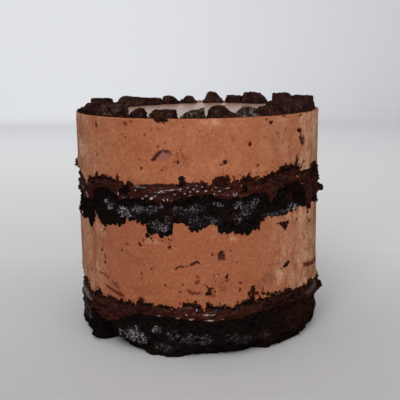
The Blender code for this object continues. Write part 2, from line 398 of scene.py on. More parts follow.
# A layer of the cake: a grid rolled into a drum round the CAD wall, with relief on the wall
def makeLayer(layer):
    wall = readWall(layer["node"])
    azimuths = columnAzimuths(layer["columns"])
    columns = len(azimuths) - 1
    cadHeights = np.array([aroundCurve(wall[:, row, 0], azimuths / 360) for row in range(wall.shape[1])])
    cadRadii = np.array([aroundCurve(wall[:, row, 1], azimuths / 360) for row in range(wall.shape[1])])
    low = edgeLine(layer["lowLine"], azimuths) if "lowLine" in layer else cadHeights[0]
    high = edgeLine(layer["highLine"], azimuths) if "highLine" in layer else cadHeights[-1]
    shares = (cadHeights - cadHeights[0]) / (cadHeights[-1] - cadHeights[0])
    ups = np.linspace(0, 1, layer["rows"] + 1)
    radii = np.array([np.interp(ups, shares[:, c], cadRadii[:, c]) for c in range(columns + 1)])
    window = np.ones(5) / 5  # smooths each row over five columns
    radii[2:-2] = np.array([np.convolve(row, window, mode="valid") for row in radii.T]).T
    heights = low[:, None] + (high - low)[:, None] * ups
    # Rows that reach in under the layers above and below, further in as they go
    tucks = np.zeros(len(ups))
    for reach, side in ((layer["lowReach"], 0), (layer["highReach"], 1)):
        for share in (0.5, 1) if reach else ():
            end = heights[:, -side] + (reach / 2 * mm if side else -reach / 2 * mm)
            place = heights.shape[1] if side else 0
            heights = np.insert(heights, place, end, axis=1)
            radii = np.insert(radii, place, radii[:, -side], axis=1)
            tucks = np.insert(tucks, place, share * layerForm["tuck"])
    last = heights.shape[1] - 1

    profile = [(out, 0) for out in hiddenRings] + [(1, row) for row in range(last + 1)]
    profile += [(out, last) for out in reversed(layer.get("topRings", hiddenRings))]
    mesh = bmesh.new()
    bmesh.ops.create_grid(mesh, x_segments=columns, y_segments=len(profile) - 1, size=1)
    paint = floatLayer(mesh, layer["paint"])
    gloss = floatLayer(mesh, "gloss")
    painted = aroundList(layer["painted"], azimuths)
    lowMiddle, highMiddle = low.mean(), high.mean()
    for vert in mesh.verts:
        column = round((vert.co.x + 1) / 2 * columns)
        out, row = profile[round((vert.co.y + 1) / 2 * (len(profile) - 1))]
        outward = direction(azimuths[column])
        height = heights[column, row]
        if out == 1:
            point = (outward * ringRadius + upward(height)) / mm
            fromLow, fromHigh = (height - low[column]) / mm, (high[column] - height) / mm
            relief = layer["relief"](point, painted[column], fromLow, fromHigh) - tucks[row]
            for away, rounding in ((fromLow, layer["lowRound"]), (fromHigh, layer["highRound"])):
                relief -= rounding * max(0, 1 - away / (rounding + 0.01)) ** 2
            vert[paint] = painted[column]
            vert.co = outward * (radii[column, row] + relief * mm) + upward(height)
        elif row == last and "topRings" in layer:
            point = outward * ringRadius * out / mm
            vert.co = outward * ringRadius * out + upward(height + topRelief(point) * mm)
            # marks the top inside its lip for its painted reflection and lower roughness
            vert[gloss] = unit((layerForm["topEdge"] - out) / layerForm["topFade"])
        else:
            middle = highMiddle if row else lowMiddle
            rim = radii[column, row] - (tucks[row] + layerForm["hiddenInset"]) * mm
            slope = min(1, out / layerForm["levelInside"])
            vert.co = outward * rim * out + upward(middle + (height - middle) * slope)
    bmesh.ops.remove_doubles(mesh, verts=mesh.verts, dist=weld)
    bmesh.ops.recalc_face_normals(mesh, faces=mesh.faces)
    mesh.verts.index_update()
    addPatches(mesh, layer.get("patches", ()))
    addMarks(mesh, layer["marks"])
    for azimuth, across, lift in layer.get("lifts", ()):
        for vert in mesh.verts:
            away = abs(alongWall(azimuthOf(vert.co) - azimuth) / (across / 2))
            outside = vert.co.xy.length > layerForm["liftOutside"]
            if away < 1 and vert.co.z < layerForm["liftBelow"] and outside:
                fade = 1 - max(0, vert.co.z) / layerForm["liftBelow"]
                vert.co.z += lift * mm * fade * min(1, (1 - away) * layerForm["liftSharp"])
    return mesh


def addPiece(name, mesh, finish, slot, *nodes):
    data = bpy.data.meshes.new(name)
    mesh.to_mesh(data)
    mesh.free()
    dressPiece(name, data, finish, slot, *nodes)


def dressPiece(name, data, finish, slot, *nodes):
    data.materials.clear()
    data.materials.append(finish)
    data.shade_smooth()
    piece = bpy.data.objects.new(name, data)
    bpy.context.scene.collection.objects.link(piece)
    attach(piece, "root")
    if nodes:
        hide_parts(*nodes)
    print(name, "has", len(data.polygons), "faces")


# Node helpers: a node with its settings, its inputs given by value or by the socket they come from
def addNode(tree, kind, inputs=None, **settings):
    node = tree.nodes.new(kind)
    for name, value in settings.items():
        setattr(node, name, value)
    for name, value in (inputs or {}).items():
        if isinstance(value, bpy.types.NodeSocket):
            tree.links.new(value, node.inputs[name])
        else:
            node.inputs[name].default_value = value
    return node


def newFinish(name, roughness, specular):
    finish = bpy.data.materials.new(name)
    finish.use_nodes = True
    shader = finish.node_tree.nodes["Principled BSDF"]
    shader.inputs["Roughness"].default_value = roughness
    shader.inputs["Specular IOR Level"].default_value = specular
    return finish, finish.node_tree, shader


def objectPlace(tree, stretch=(1, 1, 1)):
    place = addNode(tree, "ShaderNodeTexCoord").outputs["Object"]
    return addNode(tree, "ShaderNodeMapping", {"Vector": place, "Scale": stretch}).outputs["Vector"]


def stretchValue(tree, value, low, high, toLow=0.0, toHigh=1.0):
    made = addNode(tree, "ShaderNodeMapRange", {
        "Value": value, "From Min": low, "From Max": high, "To Min": toLow, "To Max": toHigh})
    return made.outputs["Result"]


def mathValue(tree, operation, a, b, c=0.0):
    return addNode(tree, "ShaderNodeMath", {0: a, 1: b, 2: c}, operation=operation).outputs[0]


def noiseValue(tree, place, size, detail, roughness):
    made = addNode(tree, "ShaderNodeTexNoise", {
        "Vector": place, "Scale": 1 / size, "Detail": detail, "Roughness": roughness})
    return made.outputs["Fac"]


# A pattern in a look: a noise's size, detail and roughness, the two values it is stretched between, and what
# they become
def patternValue(tree, place, size, detail, roughness, low, high, toLow=0.0, toHigh=1.0):
    return stretchValue(tree, noiseValue(tree, place, size, detail, roughness), low, high, toLow, toHigh)


# Spots in a look: how far apart they are, and how far from a spot's middle its edge and its core lie
def spotValue(tree, place, size, rim, core):
    cells = addNode(tree, "ShaderNodeTexVoronoi", {"Vector": place, "Scale": 1 / size})
    return stretchValue(tree, cells.outputs["Distance"], rim, core)


def paintValue(tree, name):
    return addNode(tree, "ShaderNodeAttribute", attribute_name=name).outputs["Fac"]


def mixColors(tree, share, first, second):
    made = addNode(tree, "ShaderNodeMix", data_type="RGBA")
    for socket, value in ((made.inputs["Factor"], share), (made.inputs[6], first), (made.inputs[7], second)):
        if isinstance(value, bpy.types.NodeSocket):
            tree.links.new(value, socket)
        else:
            socket.default_value = (*value, 1) if isinstance(value, tuple) else value
    return made.outputs[2]


def bumpNormal(tree, height, distance, strength=1.0, under=None):
    inputs = {"Height": height, "Distance": distance, "Strength": strength}
    if under:
        inputs["Normal"] = under
    return addNode(tree, "ShaderNodeBump", inputs).outputs["Normal"]


# A bump in a look: a noise's size, detail and roughness, and how deep it is
def noiseBump(tree, place, size, detail, roughness, depth, strength=1.0, under=None):
    return bumpNormal(tree, noiseValue(tree, place, size, detail, roughness), depth, strength, under)


mousseLook = {
    "color": (0.392, 0.137, 0.063),
    "darker": (0.305, 0.092, 0.038),
    "lower": (0.272, 0.079, 0.033),
    # painted sheen colour of the pale paint; the light grain uses it too
    "pale": (0.64, 0.380, 0.234),
    # painted shade colours: in the holes, and on the floors of the voids
    "holeShade": (0.034, 0.0015, 0.0005),
    # painted shade in the pores
    "poreShade": (0.165, 0.034, 0.014),
    "voidShade": (0.29, 0.110, 0.074),
    "smear": (0.105, 0.0105, 0.004),
    # the top inside its lip is paler and greyer: a painted reflection of the bright backdrop
    "top": (0.42, 0.245, 0.178),
    "lowerTop": 80 * mm,  # below this the mousse is painted a shade darker: painted shade on the lower wall, further from the light above
    "lowerBlend": 20 * mm,
    "lowerShare": 0.85,
    "mottle": (9 * mm, 5, 0.7, 0.38, 0.62, 0, 0.8),
    "blotches": (8 * mm, 5, 0.65, 0.41, 0.56),
    "blotchStretch": (1, 1, 0.6),
    "blotchShare": 0.7,
    "streaks": (3 * mm, 4, 0.65, 0.42, 0.60),
    "streakStretch": (1, 1, 0.16),
    "streakShare": (0.06, 0.42),  # of the upper and of the lower mousse
    "palest": 1.05,
    "grain": (2.2 * mm, 4, 0.85, 0.43, 0.60, 0.0, 0.85),
    "light": (1.9 * mm, 4, 0.85, 0.50, 0.66, 0.0, 0.2),
    "reddish": (2.2 * mm, 4, 0.7, 0.35, 0.55, 0.7, 1),
    "pores": (1.9 * mm, 0.24, 0.14),
    "poreGroups": (6 * mm, 2, 0.5, 0.5, 0.62),
    "finePores": (1.0 * mm, 0.46, 0.28),
    "poreShare": 0.8,
    "poreDepth": 0.1 * mm,
    "bump": (1.4 * mm, 5, 0.65, 0.25 * mm),
    "roughness": 0.5,
    "topRoughness": 0.25,
    "specular": 0.14,
}


def mousseFinish(look):
    finish, tree, shader = newFinish("mousse", look["roughness"], look["specular"])
    place = objectPlace(tree)
    height = addNode(tree, "ShaderNodeSeparateXYZ", {"Vector": place}).outputs["Z"]
    # The lower wall is painted darker: painted shade, as less of the light from above reaches it
    blendTop = look["lowerTop"] + look["lowerBlend"]
    lower = stretchValue(tree, height, blendTop, look["lowerTop"], 0, look["lowerShare"])
    color = mixColors(tree, lower, look["color"], look["lower"])
    color = mixColors(tree, patternValue(tree, place, *look["mottle"]), color, look["darker"])
    # Paler blotches and upright streaks where the pale paint lies: painted sheen, strongest at the sides
    blotches = patternValue(tree, objectPlace(tree, look["blotchStretch"]), *look["blotches"])
    streaks = patternValue(tree, objectPlace(tree, look["streakStretch"]), *look["streaks"])
    share = stretchValue(tree, lower, 0, look["lowerShare"], *look["streakShare"])
    streaks = mathValue(tree, "MULTIPLY", streaks, share)
    sheenFilm = mathValue(tree, "MULTIPLY_ADD", blotches, look["blotchShare"], streaks)
    pale = paintValue(tree, "pale")
    sheenFilm = mathValue(tree, "MULTIPLY_ADD", sheenFilm, pale, stretchValue(tree, pale, 1, 2, 0, look["palest"]))
    color = mixColors(tree, sheenFilm, color, look["pale"])
    color = mixColors(tree, patternValue(tree, place, *look["grain"]), color, look["darker"])
    color = mixColors(tree, patternValue(tree, place, *look["light"]), color, look["pale"])
    reddish = patternValue(tree, place, *look["reddish"])
    smear = mathValue(tree, "MULTIPLY", reddish, paintValue(tree, "smear"))
    color = mixColors(tree, smear, color, look["smear"])
    # Pores as darker dots, with a small dent: painted shade in them
    groups = patternValue(tree, place, *look["poreGroups"])
    pores = mathValue(tree, "MULTIPLY", spotValue(tree, place, *look["pores"]), groups)
    fine = mathValue(tree, "MULTIPLY", spotValue(tree, place, *look["finePores"]), paintValue(tree, "porous"))
    pores = mathValue(tree, "MAXIMUM", pores, fine)
    color = mixColors(tree, mathValue(tree, "MULTIPLY", pores, look["poreShare"]), color, look["poreShade"])
    # Painted shade in the holes and voids, over their pushed-in dents
    for kind in ("voidShade", "holeShade"):
        color = mixColors(tree, paintValue(tree, kind), color, look[kind])
    # The top inside its lip: painted reflection in its colour, and a lower roughness
    gloss = paintValue(tree, "gloss")
    color = mixColors(tree, gloss, color, look["top"])
    tree.links.new(color, shader.inputs["Base Color"])
    roughness = stretchValue(tree, gloss, 0, 1, look["roughness"], look["topRoughness"])
    tree.links.new(roughness, shader.inputs["Roughness"])
    bump = noiseBump(tree, place, *look["bump"])
    bump = bumpNormal(tree, pores, -look["poreDepth"], 1, bump)
    tree.links.new(bump, shader.inputs["Normal"])
    return finish


spongeLook = {
    "color": (0.0042, 0.0026, 0.0025),
    "lighter": (0.0092, 0.0046, 0.0042),
    "brown": (0.030, 0.0080, 0.0050),
    # grey painted sheen, strongest at the left side and round the painted highlights
    "sheenFilmColor": (0.058, 0.041, 0.045),
    # painted highlight colour where the crumb catches the light
    "paintedSparkle": (0.48, 0.43, 0.45),
    "crumb": (1.5 * mm, 4, 0.65, 0.4, 0.68),
    "browner": (2.6 * mm, 4, 0.7, 0.42, 0.6),
    "sheenFilm": (2.6 * mm, 4, 0.6, 0.44, 0.64),
    "sheenFilmUnderSparkle": 0.3,
    "curls": (1.9 * mm, 3, 0.6),
    "curlWidth": (0.034, 0.010),  # outer edge and core of a curl
    "curlGroups": (2.3 * mm, 3, 0.5, 0.47, 0.56),
    "specks": (1.0 * mm, 4, 0.75),
    "speckRange": (0.61, 0.68),
    "moreSpecks": 0.06,  # how much easier specks come where the painted highlights are thick
    "paintedSparkleRange": (0.1, 0.95),
    "bump": (1.1 * mm, 5, 0.7, 0.6 * mm),
    "roughness": 0.9,
    "specular": 0.04,
}


def spongeFinish(look):
    finish, tree, shader = newFinish("sponge", look["roughness"], look["specular"])
    place = objectPlace(tree)
    color = mixColors(tree, patternValue(tree, place, *look["crumb"]), look["color"], look["lighter"])
    browner = patternValue(tree, place, *look["browner"])
    browner = mathValue(tree, "MULTIPLY", browner, paintValue(tree, "brown"))
    color = mixColors(tree, browner, color, look["brown"])
    paint = paintValue(tree, "paintedSparkle")
    # A grey painted sheen where its paint lies, and under the painted highlights
    sheenFilm = patternValue(tree, place, *look["sheenFilm"])
    under = mathValue(tree, "MULTIPLY", paint, look["sheenFilmUnderSparkle"])
    sheenFilms = mathValue(tree, "MAXIMUM", under, paintValue(tree, "sheenFilm"))
    color = mixColors(tree, mathValue(tree, "MULTIPLY", sheenFilm, sheenFilms), color, look["sheenFilmColor"])
    # Painted highlights: curled bright lines round the crumbs, and specks between them, painted into the
    # colour
    wave = mathValue(tree, "SUBTRACT", noiseValue(tree, place, *look["curls"]), 0.5)
    curls = stretchValue(tree, mathValue(tree, "ABSOLUTE", wave, 0), *look["curlWidth"])
    curls = mathValue(tree, "MULTIPLY", curls, patternValue(tree, place, *look["curlGroups"]))
    grains = noiseValue(tree, place, *look["specks"])
    grains = mathValue(tree, "MULTIPLY_ADD", paint, look["moreSpecks"], grains)
    specks = mathValue(tree, "MAXIMUM", stretchValue(tree, grains, *look["speckRange"]), curls)
    share = stretchValue(tree, paint, *look["paintedSparkleRange"])
    color = mixColors(tree, mathValue(tree, "MULTIPLY", specks, share), color, look["paintedSparkle"])
    tree.links.new(color, shader.inputs["Base Color"])
    tree.links.new(noiseBump(tree, place, *look["bump"]), shader.inputs["Normal"])
    return finish


ganacheLook = {
    "color": (0.020, 0.0042, 0.0029),
    "lighter": (0.048, 0.0094, 0.0052),
    "crumbly": (0.060, 0.0150, 0.0085),
    # painted shade between the crumbs
    "pitShade": (0.005, 0.0020, 0.0018),
    # painted sheen: the grey reflection where the wall turns away
    "paintedGreySheen": (0.23, 0.195, 0.19),
    # painted highlight colour of the glints
    "glint": (0.47, 0.40, 0.42),
    "smoothFrom": 0.75,  # gloss from which it is smooth all over
    "streaks": (6 * mm, 4, 0.5, 0.4, 0.65),
    "streakStretch": (1, 1, 3),
    "grain": (1.7 * mm, 4, 0.75, 0.44, 0.57),
    "greySheenBreaks": (3.2 * mm, 4, 0.7, 0.40, 0.56, 0.3, 1),
    "glints": (1.2 * mm, 4, 0.7, 0.47, 0.58),
    "glintStretch": (1, 1, 1.7),
    "glintFrom": 0.955,  # gloss from which a glint is painted
    "glossRoughness": 0.2,
    "satinRoughness": 0.5,
    "crumbRoughness": 0.9,
    "patchyRoughness": (3 * mm, 3, 0.5, 0.45, 0.7, 0, 0.2),
    "bump": (1.0 * mm, 5, 0.7, 0.5 * mm),
    "bumpWhenWet": 0.06,
    "broadBump": (2.6 * mm, 3, 0.5, 0.5 * mm, 0.5),
    "broadStretch": (1, 1, 2),
    "specular": 0.10,
}


def ganacheFinish(look):
    finish, tree, shader = newFinish("ganache", look["glossRoughness"], look["specular"])
    place = objectPlace(tree)
    gloss = paintValue(tree, "gloss")
    smoothFrom = look["smoothFrom"]
    streaks = patternValue(tree, objectPlace(tree, look["streakStretch"]), *look["streaks"])
    smooth = mixColors(tree, streaks, look["color"], look["lighter"])
    # Crumbly parts run from brown to near black: painted shade between the crumbs
    rough = mixColors(tree, patternValue(tree, place, *look["grain"]), look["crumbly"], look["pitShade"])
    color = mixColors(tree, stretchValue(tree, gloss, 0, smoothFrom), rough, smooth)
    # Grey painted sheen, broken up, where its paint lies
    breaks = patternValue(tree, place, *look["greySheenBreaks"])
    paintedGreySheen = mathValue(tree, "MULTIPLY", breaks, paintValue(tree, "paintedGreySheen"))
    color = mixColors(tree, paintedGreySheen, color, look["paintedGreySheen"])
    # Broken painted highlights where marks are wettest: glints painted into the colour
    glints = patternValue(tree, objectPlace(tree, look["glintStretch"]), *look["glints"])
    glints = mathValue(tree, "MULTIPLY", glints, stretchValue(tree, gloss, look["glintFrom"], 1))
    color = mixColors(tree, glints, color, look["glint"])
    tree.links.new(color, shader.inputs["Base Color"])
    # Matt where it is crumbly, satin where it is smooth, and wet where marks shine
    satin = look["satinRoughness"]
    roughness = stretchValue(tree, gloss, 0, smoothFrom, look["crumbRoughness"], satin)
    wet = stretchValue(tree, gloss, smoothFrom, 1, 0, look["glossRoughness"] - satin)
    roughness = mathValue(tree, "ADD", roughness, wet)
    patchy = patternValue(tree, place, *look["patchyRoughness"])
    tree.links.new(mathValue(tree, "ADD", roughness, patchy), shader.inputs["Roughness"])
    fine = noiseBump(tree, place, *look["bump"])
    tree.links.new(stretchValue(tree, gloss, 0, 1, 1, look["bumpWhenWet"]), fine.node.inputs["Strength"])
    broad = noiseBump(tree, objectPlace(tree, look["broadStretch"]), *look["broadBump"], under=fine)
    tree.links.new(broad, shader.inputs["Normal"])
    return finish


chunkLook = {
    "name": "chunk",
    "color": (0.0190, 0.0066, 0.0048),
    "lighter": (0.098, 0.0320, 0.0195),
    # painted shade in the pits
    "pitShade": (0.004, 0.0020, 0.0017),
    # grey painted highlight on the faces of some chunks
    "paintedGleam": (0.14, 0.120, 0.117),
    "crumb": (1.4 * mm, 5, 0.75, 0.42, 0.64),
    "darkPatches": (5 * mm, 3, 0.5, 0.42, 0.6),
    "pits": (1.3 * mm, 3, 0.7, 0.54, 0.62),
    "sheenFilms": (2.4 * mm, 4, 0.7, 0.48, 0.6),
    "patchyRoughness": (4 * mm, 2, 0.5, 0.4, 0.65, 0.55, 0.9),
    "bump": (1.0 * mm, 5, 0.7, 0.7 * mm),
    "roughness": 0.85,
    "specular": 0.05,
}
crumbLook = {
    **chunkLook,
    "name": "crumbs",
    "color": (0.0240, 0.0066, 0.0042),
    "lighter": (0.068, 0.0190, 0.0100),
}


def chunkFinish(look):
    finish, tree, shader = newFinish(look["name"], look["roughness"], look["specular"])
    place = objectPlace(tree)
    color = mixColors(tree, patternValue(tree, place, *look["crumb"]), look["color"], look["lighter"])
    color = mixColors(tree, patternValue(tree, place, *look["darkPatches"]), look["color"], color)
    # Near-black dots: painted shade in pits
    color = mixColors(tree, patternValue(tree, place, *look["pits"]), color, look["pitShade"])
    # Grey painted highlights in streaks where the gleam paint lies
    sheenFilms = mathValue(tree, "MULTIPLY", patternValue(tree, place, *look["sheenFilms"]), paintValue(tree, "paintedGleam"))
    color = mixColors(tree, sheenFilms, color, look["paintedGleam"])
    tree.links.new(color, shader.inputs["Base Color"])
    tree.links.new(patternValue(tree, place, *look["patchyRoughness"]), shader.inputs["Roughness"])
    tree.links.new(noiseBump(tree, place, *look["bump"]), shader.inputs["Normal"])
    return finish


mousse = mousseFinish(mousseLook)
sponge = spongeFinish(spongeLook)
ganache = ganacheFinish(ganacheLook)
chunkCake = chunkFinish(chunkLook)
crumbCake = chunkFinish(crumbLook)
print("finishes made")

# The lines between the layers: which CAD node's top they follow at the back, how ragged they are across the
# front and at the back, and their listed points of azimuth and height
ganacheLowerTop = {
    "node": "ganache_lower",
    "seed": 2,
    "fine": 0.3,
    "wild": 1.0,
    "picked": (
        (-84, 38), (-79, 37.5), (-75.7, 35.9), (-72, 36.7), (-69.7, 35.6), (-65.9, 35.1), (-64.7, 31.6),
        (-61.6, 34.1), (-60.6, 29.9), (-56.2, 28.3), (-54.1, 31), (-52.2, 32.3), (-49.7, 30.6),
        (-45.9, 31.2), (-38.5, 30.9), (-36.1, 31.4), (-34.5, 29.8), (-32.1, 31.2), (-29.5, 30.9),
        (-28.5, 28.8), (-27.4, 32.6), (-26.4, 31.8), (-25.9, 33.6), (-24.9, 32.2), (-19.7, 31.2),
        (-17.4, 31.4), (-11.2, 30.2), (-7.7, 31.2), (-6.8, 33.9), (-1.7, 33.6), (0.4, 31.6), (0.9, 28.6),
        (2.4, 28.8), (3, 31.6), (7.2, 30.8), (8.5, 29.6), (10.2, 31), (11.1, 28.6), (11.6, 31),
        (14.2, 29.4), (16.5, 31.8), (17.4, 30.5), (19.2, 32.2), (21.5, 32.5), (24.2, 33), (25.4, 30.8),
        (26.9, 32.4), (28.8, 32), (31.6, 32.6), (34, 33.2), (41, 33.7), (43.8, 34.6), (46, 32.8),
        (65.4, 32.8), (67.3, 30.1), (71.8, 31.6), (75.6, 30), (81, 27.9),
    ),
}
spongeUpperBottom = {
    "node": "mousse_lower",
    "seed": 3,
    "fine": -0.3,
    "wild": -1.0,
    "picked": (
        (-80, 77), (-72.8, 76.5), (-69.9, 77.9), (-68.2, 75.2), (-64.8, 74.2), (-60.5, 76.5), (-59.3, 73.2),
        (-57.4, 72.2), (-55.3, 72.6), (-53.6, 74.2), (-52.8, 80.2), (-50.4, 80.4), (-49.3, 77),
        (-47.4, 77.1), (-46.8, 74.9), (-46.1, 73.8), (-43.3, 75), (-40, 76.2), (-37.5, 77.3), (-37, 75.6),
        (-34.1, 77.2), (-31.3, 80.6), (-28.7, 80.9), (-26.2, 80.1), (-24.4, 78), (-22.6, 78.8),
        (-22.1, 73.6), (-20.2, 73.3), (-18.4, 74.6), (-15.3, 71.4), (-14.4, 73.2), (-11.2, 73.9),
        (-10.6, 80.2), (-6.2, 79.7), (-5, 78.6), (-2.5, 75.8), (-0.1, 74.6), (0.4, 76.9), (2.9, 78),
        (5.8, 79), (7.9, 77.7), (8.3, 73.7), (9.6, 74.2), (10.9, 75.8), (12.1, 73.4), (15.2, 74.3),
        (16.5, 73), (20.1, 73.7), (21.5, 73), (24.4, 74.9), (26.6, 75.1), (27.3, 79), (31.9, 81.2),
        (33, 80.2), (34.1, 81.4), (36.9, 80.4), (42.5, 80.4), (43.2, 81.8), (46, 80.8), (46.7, 82.0),
        (49, 80.6), (51.4, 82.4), (56.8, 81.6), (58.2, 78.2), (60.0, 77.4), (61.6, 81.6), (63.2, 82.9),
        (70, 82), (81, 80),
    ),
}
ganacheUpperTop = {
    "node": "ganache_upper",
    "seed": 5,
    "fine": 0.3,
    "wild": 1.0,
    "picked": (
        (-90, 104), (-86, 107), (-81, 106.5), (-77.6, 103.8), (-70.8, 101.4), (-66.8, 100.3), (-63.7, 98.6),
        (-61.1, 95.8), (-59.8, 95.4), (-58.6, 99), (-56.4, 101.1), (-51.7, 101.9), (-49.6, 104.6),
        (-49, 103), (-44, 103.6), (-38.4, 102.6), (-37.2, 102.2), (-36.3, 105.2), (-35.5, 101.9),
        (-33.4, 101), (-32.3, 99.9), (-31.2, 102.3), (-27.2, 99.9), (-24.8, 100.7), (-16.6, 101.8),
        (-12, 101.4), (-8, 101.5), (-7.4, 104.8), (-5.5, 104.6), (-5.1, 103.2), (-1.4, 102.7), (0.2, 102.1),
        (1.5, 103.7), (2.3, 102), (5.1, 101.4), (6.4, 103.5), (8.1, 105.2), (10.6, 105.6), (12.3, 105),
        (14, 102), (16, 103.5), (17.9, 102.2), (19.2, 104.3), (20.1, 103.2), (22, 105.2), (22.4, 103.5),
        (24.8, 102.1), (26.2, 103.6), (27.7, 101.8), (30.7, 104.2), (36.7, 105.7), (37.6, 107.8),
        (40.3, 108.0), (44.2, 107.2), (45.3, 108.6), (46.6, 107.6), (49.6, 107.2), (50.4, 105.0),
        (51.8, 104.2), (54.6, 103.2), (60.6, 103.0), (61.4, 105.4), (65.3, 104.6), (71.4, 103.9),
        (75.4, 100.5), (81, 97),
    ),
}
spongeLowerTop = {
    "node": "sponge_lower",
    "seed": 1,
    "fine": 0.12,
    "wild": 0.35,
    "picked": (
        (-80, 25), (-73.3, 23.0), (-67.1, 22.0), (-62.2, 19.6), (-57.3, 17.8), (-51.8, 16.2), (-45.2, 15.9),
        (-40.6, 17.8), (-36.4, 20.1), (-33.5, 21.9), (-29.8, 23.6), (-26.3, 25.6), (-23.1, 24.7),
        (-13.8, 24.9), (-3.7, 23.6), (0.1, 23.3), (5.1, 22.1), (7.6, 22.0), (10.1, 22.7), (18.3, 23.3),
        (23.1, 25.4), (45.6, 25.8), (52.3, 25.5), (61.3, 22.5), (80, 20),
    ),
}
spongeUpperTop = {
    "node": "sponge_upper",
    "seed": 4,
    "fine": 0.12,
    "wild": 0.35,
    "picked": (
        (-81, 90), (-68.5, 89.7), (-63.2, 87.3), (-60.6, 86.2), (-57.6, 85.8), (-54.9, 88), (-54.2, 93.9),
        (-49.2, 95.8), (-43.1, 96.5), (-39.0, 95.0), (-37.1, 92.4), (-35.9, 90.8), (-31.1, 92.9),
        (-26.9, 92.9), (-23.7, 92.2), (-21.0, 91.0), (-14.4, 90.5), (-11.9, 90.2), (-9.4, 92.1),
        (-6.6, 94.0), (0.3, 95.0), (4.9, 96.2), (7.7, 94.3), (10.1, 93.2), (13.3, 92.5), (18.4, 93.4),
        (25.8, 94.8), (29.9, 94.9), (31.2, 93.1), (32.3, 88.8), (33.9, 91.0), (37.7, 95.2), (41.8, 96.9),
        (46.3, 97.5), (50.2, 96.8), (53.9, 92.7), (56.4, 87.6), (58.4, 82.6), (61.0, 79.2), (63.1, 84.5),
        (64.9, 85.5), (71.8, 85), (81, 85),
    ),
}

spongeLayer = {
    "columns": 1120,
    "lowReach": 0,  # how far in mm it reaches in under the layer below it, and under the one above it
    "highReach": 1.6,
    "highRound": 1.0,  # how far in mm its upper edge is rounded
    # its paint lays the painted highlights of the crumb
    "paint": "paintedSparkle",
}
ganacheLayer = {
    "columns": 1120,
    "lowReach": 0,
    "highReach": 0,
    "lowRound": 0.9,
    "highRound": 0.4,
    "paint": "gloss",
}
mousseLayer = {
    "columns": 930,
    "lowReach": 1.0,
    "lowRound": 0,
    "highRound": 0,
    "paint": "pale",
    "relief": mousseRelief,
}


# How pale the mousse wall is round the cake: painted sheen, strongest at the sides
def paleSides(palest):
    return ((-90, palest), (-64, 0.8), (-54, 0.4), (-44, 0.15), (-34, 0), (22, 0), (36, 0.25), (48, 0.6),
            (60, palest), (100, 0.7), (130, 0), (-140, 0), (-110, 0.6))


# What a layer is painted with round the cake is given as azimuth and value. A mark is its azimuth, height,
# size across and size upwards, its turn and how far out it is pushed where it has them, and what it paints.
spongeLower = {
    **spongeLayer,
    "node": "sponge_lower",
    "rows": 56,
    "highLine": spongeLowerTop,
    "lowRound": 0.5,
    "painted": (
        (-90, 0.05), (-44, 0.02), (-34, 0.05), (-5, 0.06), (12, 0.06), (40, 0.03), (90, 0.1), (120, 0.3),
        (170, 0.15), (-160, 0.2), (-130, 0.35),
    ),
    # azimuth, how wide, and how far in mm the broken underside lifts off the ground
    "lifts": (
        (-47.5, 14, 4.6), (-41, 13, 4.5), (-84, 90, 2.0), (69.5, 17, 8), (130, 16, 2), (-130, 14, 2.4),
        (170, 10, 1.6),
    ),
    "marks": {
        # painted highlights on the crumb; the marks that paint 0 only push the wall
        "paintedSparkle": (
            (-31, 11.5, 17, 11, 28, 0, 1), (-26.5, 10.5, 11, 10, 1), (-35.5, 12.5, 5, 5, 0.6),
            (-18.5, 17.3, 8, 6, 0.65), (-12, 14.5, 11, 9, 0.35), (-4, 12, 14, 9, 0.4),
            (2.5, 11.5, 11, 9, 0.4), (-16, 6, 20, 7, 0.3), (15, 12.5, 13, 7, 0.25), (21, 10, 10, 6, 0.25),
            (31, 10, 12, 6, 0.2), (105, 12, 26, 12, 0.8), (150, 10, 30, 12, 0.7), (-165, 14, 26, 10, 0.7),
            (-125, 10, 34, 12, 0.9), (-47.5, 3, 13, 27, 0, -12, 0), (-55.5, 2, 13, 9, 0, 2.4, 0),
            (-36.2, 11.5, 8, 5, 0.9), (84, 16, 28, 14, 0, -2.2, 0), (82, 3, 30, 12, 0, 1.2, 0),
            (-38.4, 9, 2, 4.6, -20, 0, 0.9),
        ),
        # grey painted sheen
        "sheenFilm": (
            (-74, 16, 22, 18, 4), (-65, 14, 14, 14, 1.4), (-14, 8, 22, 8, 0.2), (20, 10, 24, 8, 0.2),
            (-30, 11, 18, 10, 28, 0, 0.7),
        ),
        "brown": (
            (56, 16, 52, 26, 1), (34, 10, 26, 14, 0.7), (-20, 4, 20, 5, 0.5), (75, 12, 20, 20, 0.8),
            (140, 14, 40, 14, 0.8), (-150, 12, 40, 14, 0.6),
        ),
    },
    # Its foot keeps more of its hollows
    "relief": lambda point, paint, fromLow, fromHigh: spongeRelief(point, paint, fromLow + 1.5, fromHigh),
}
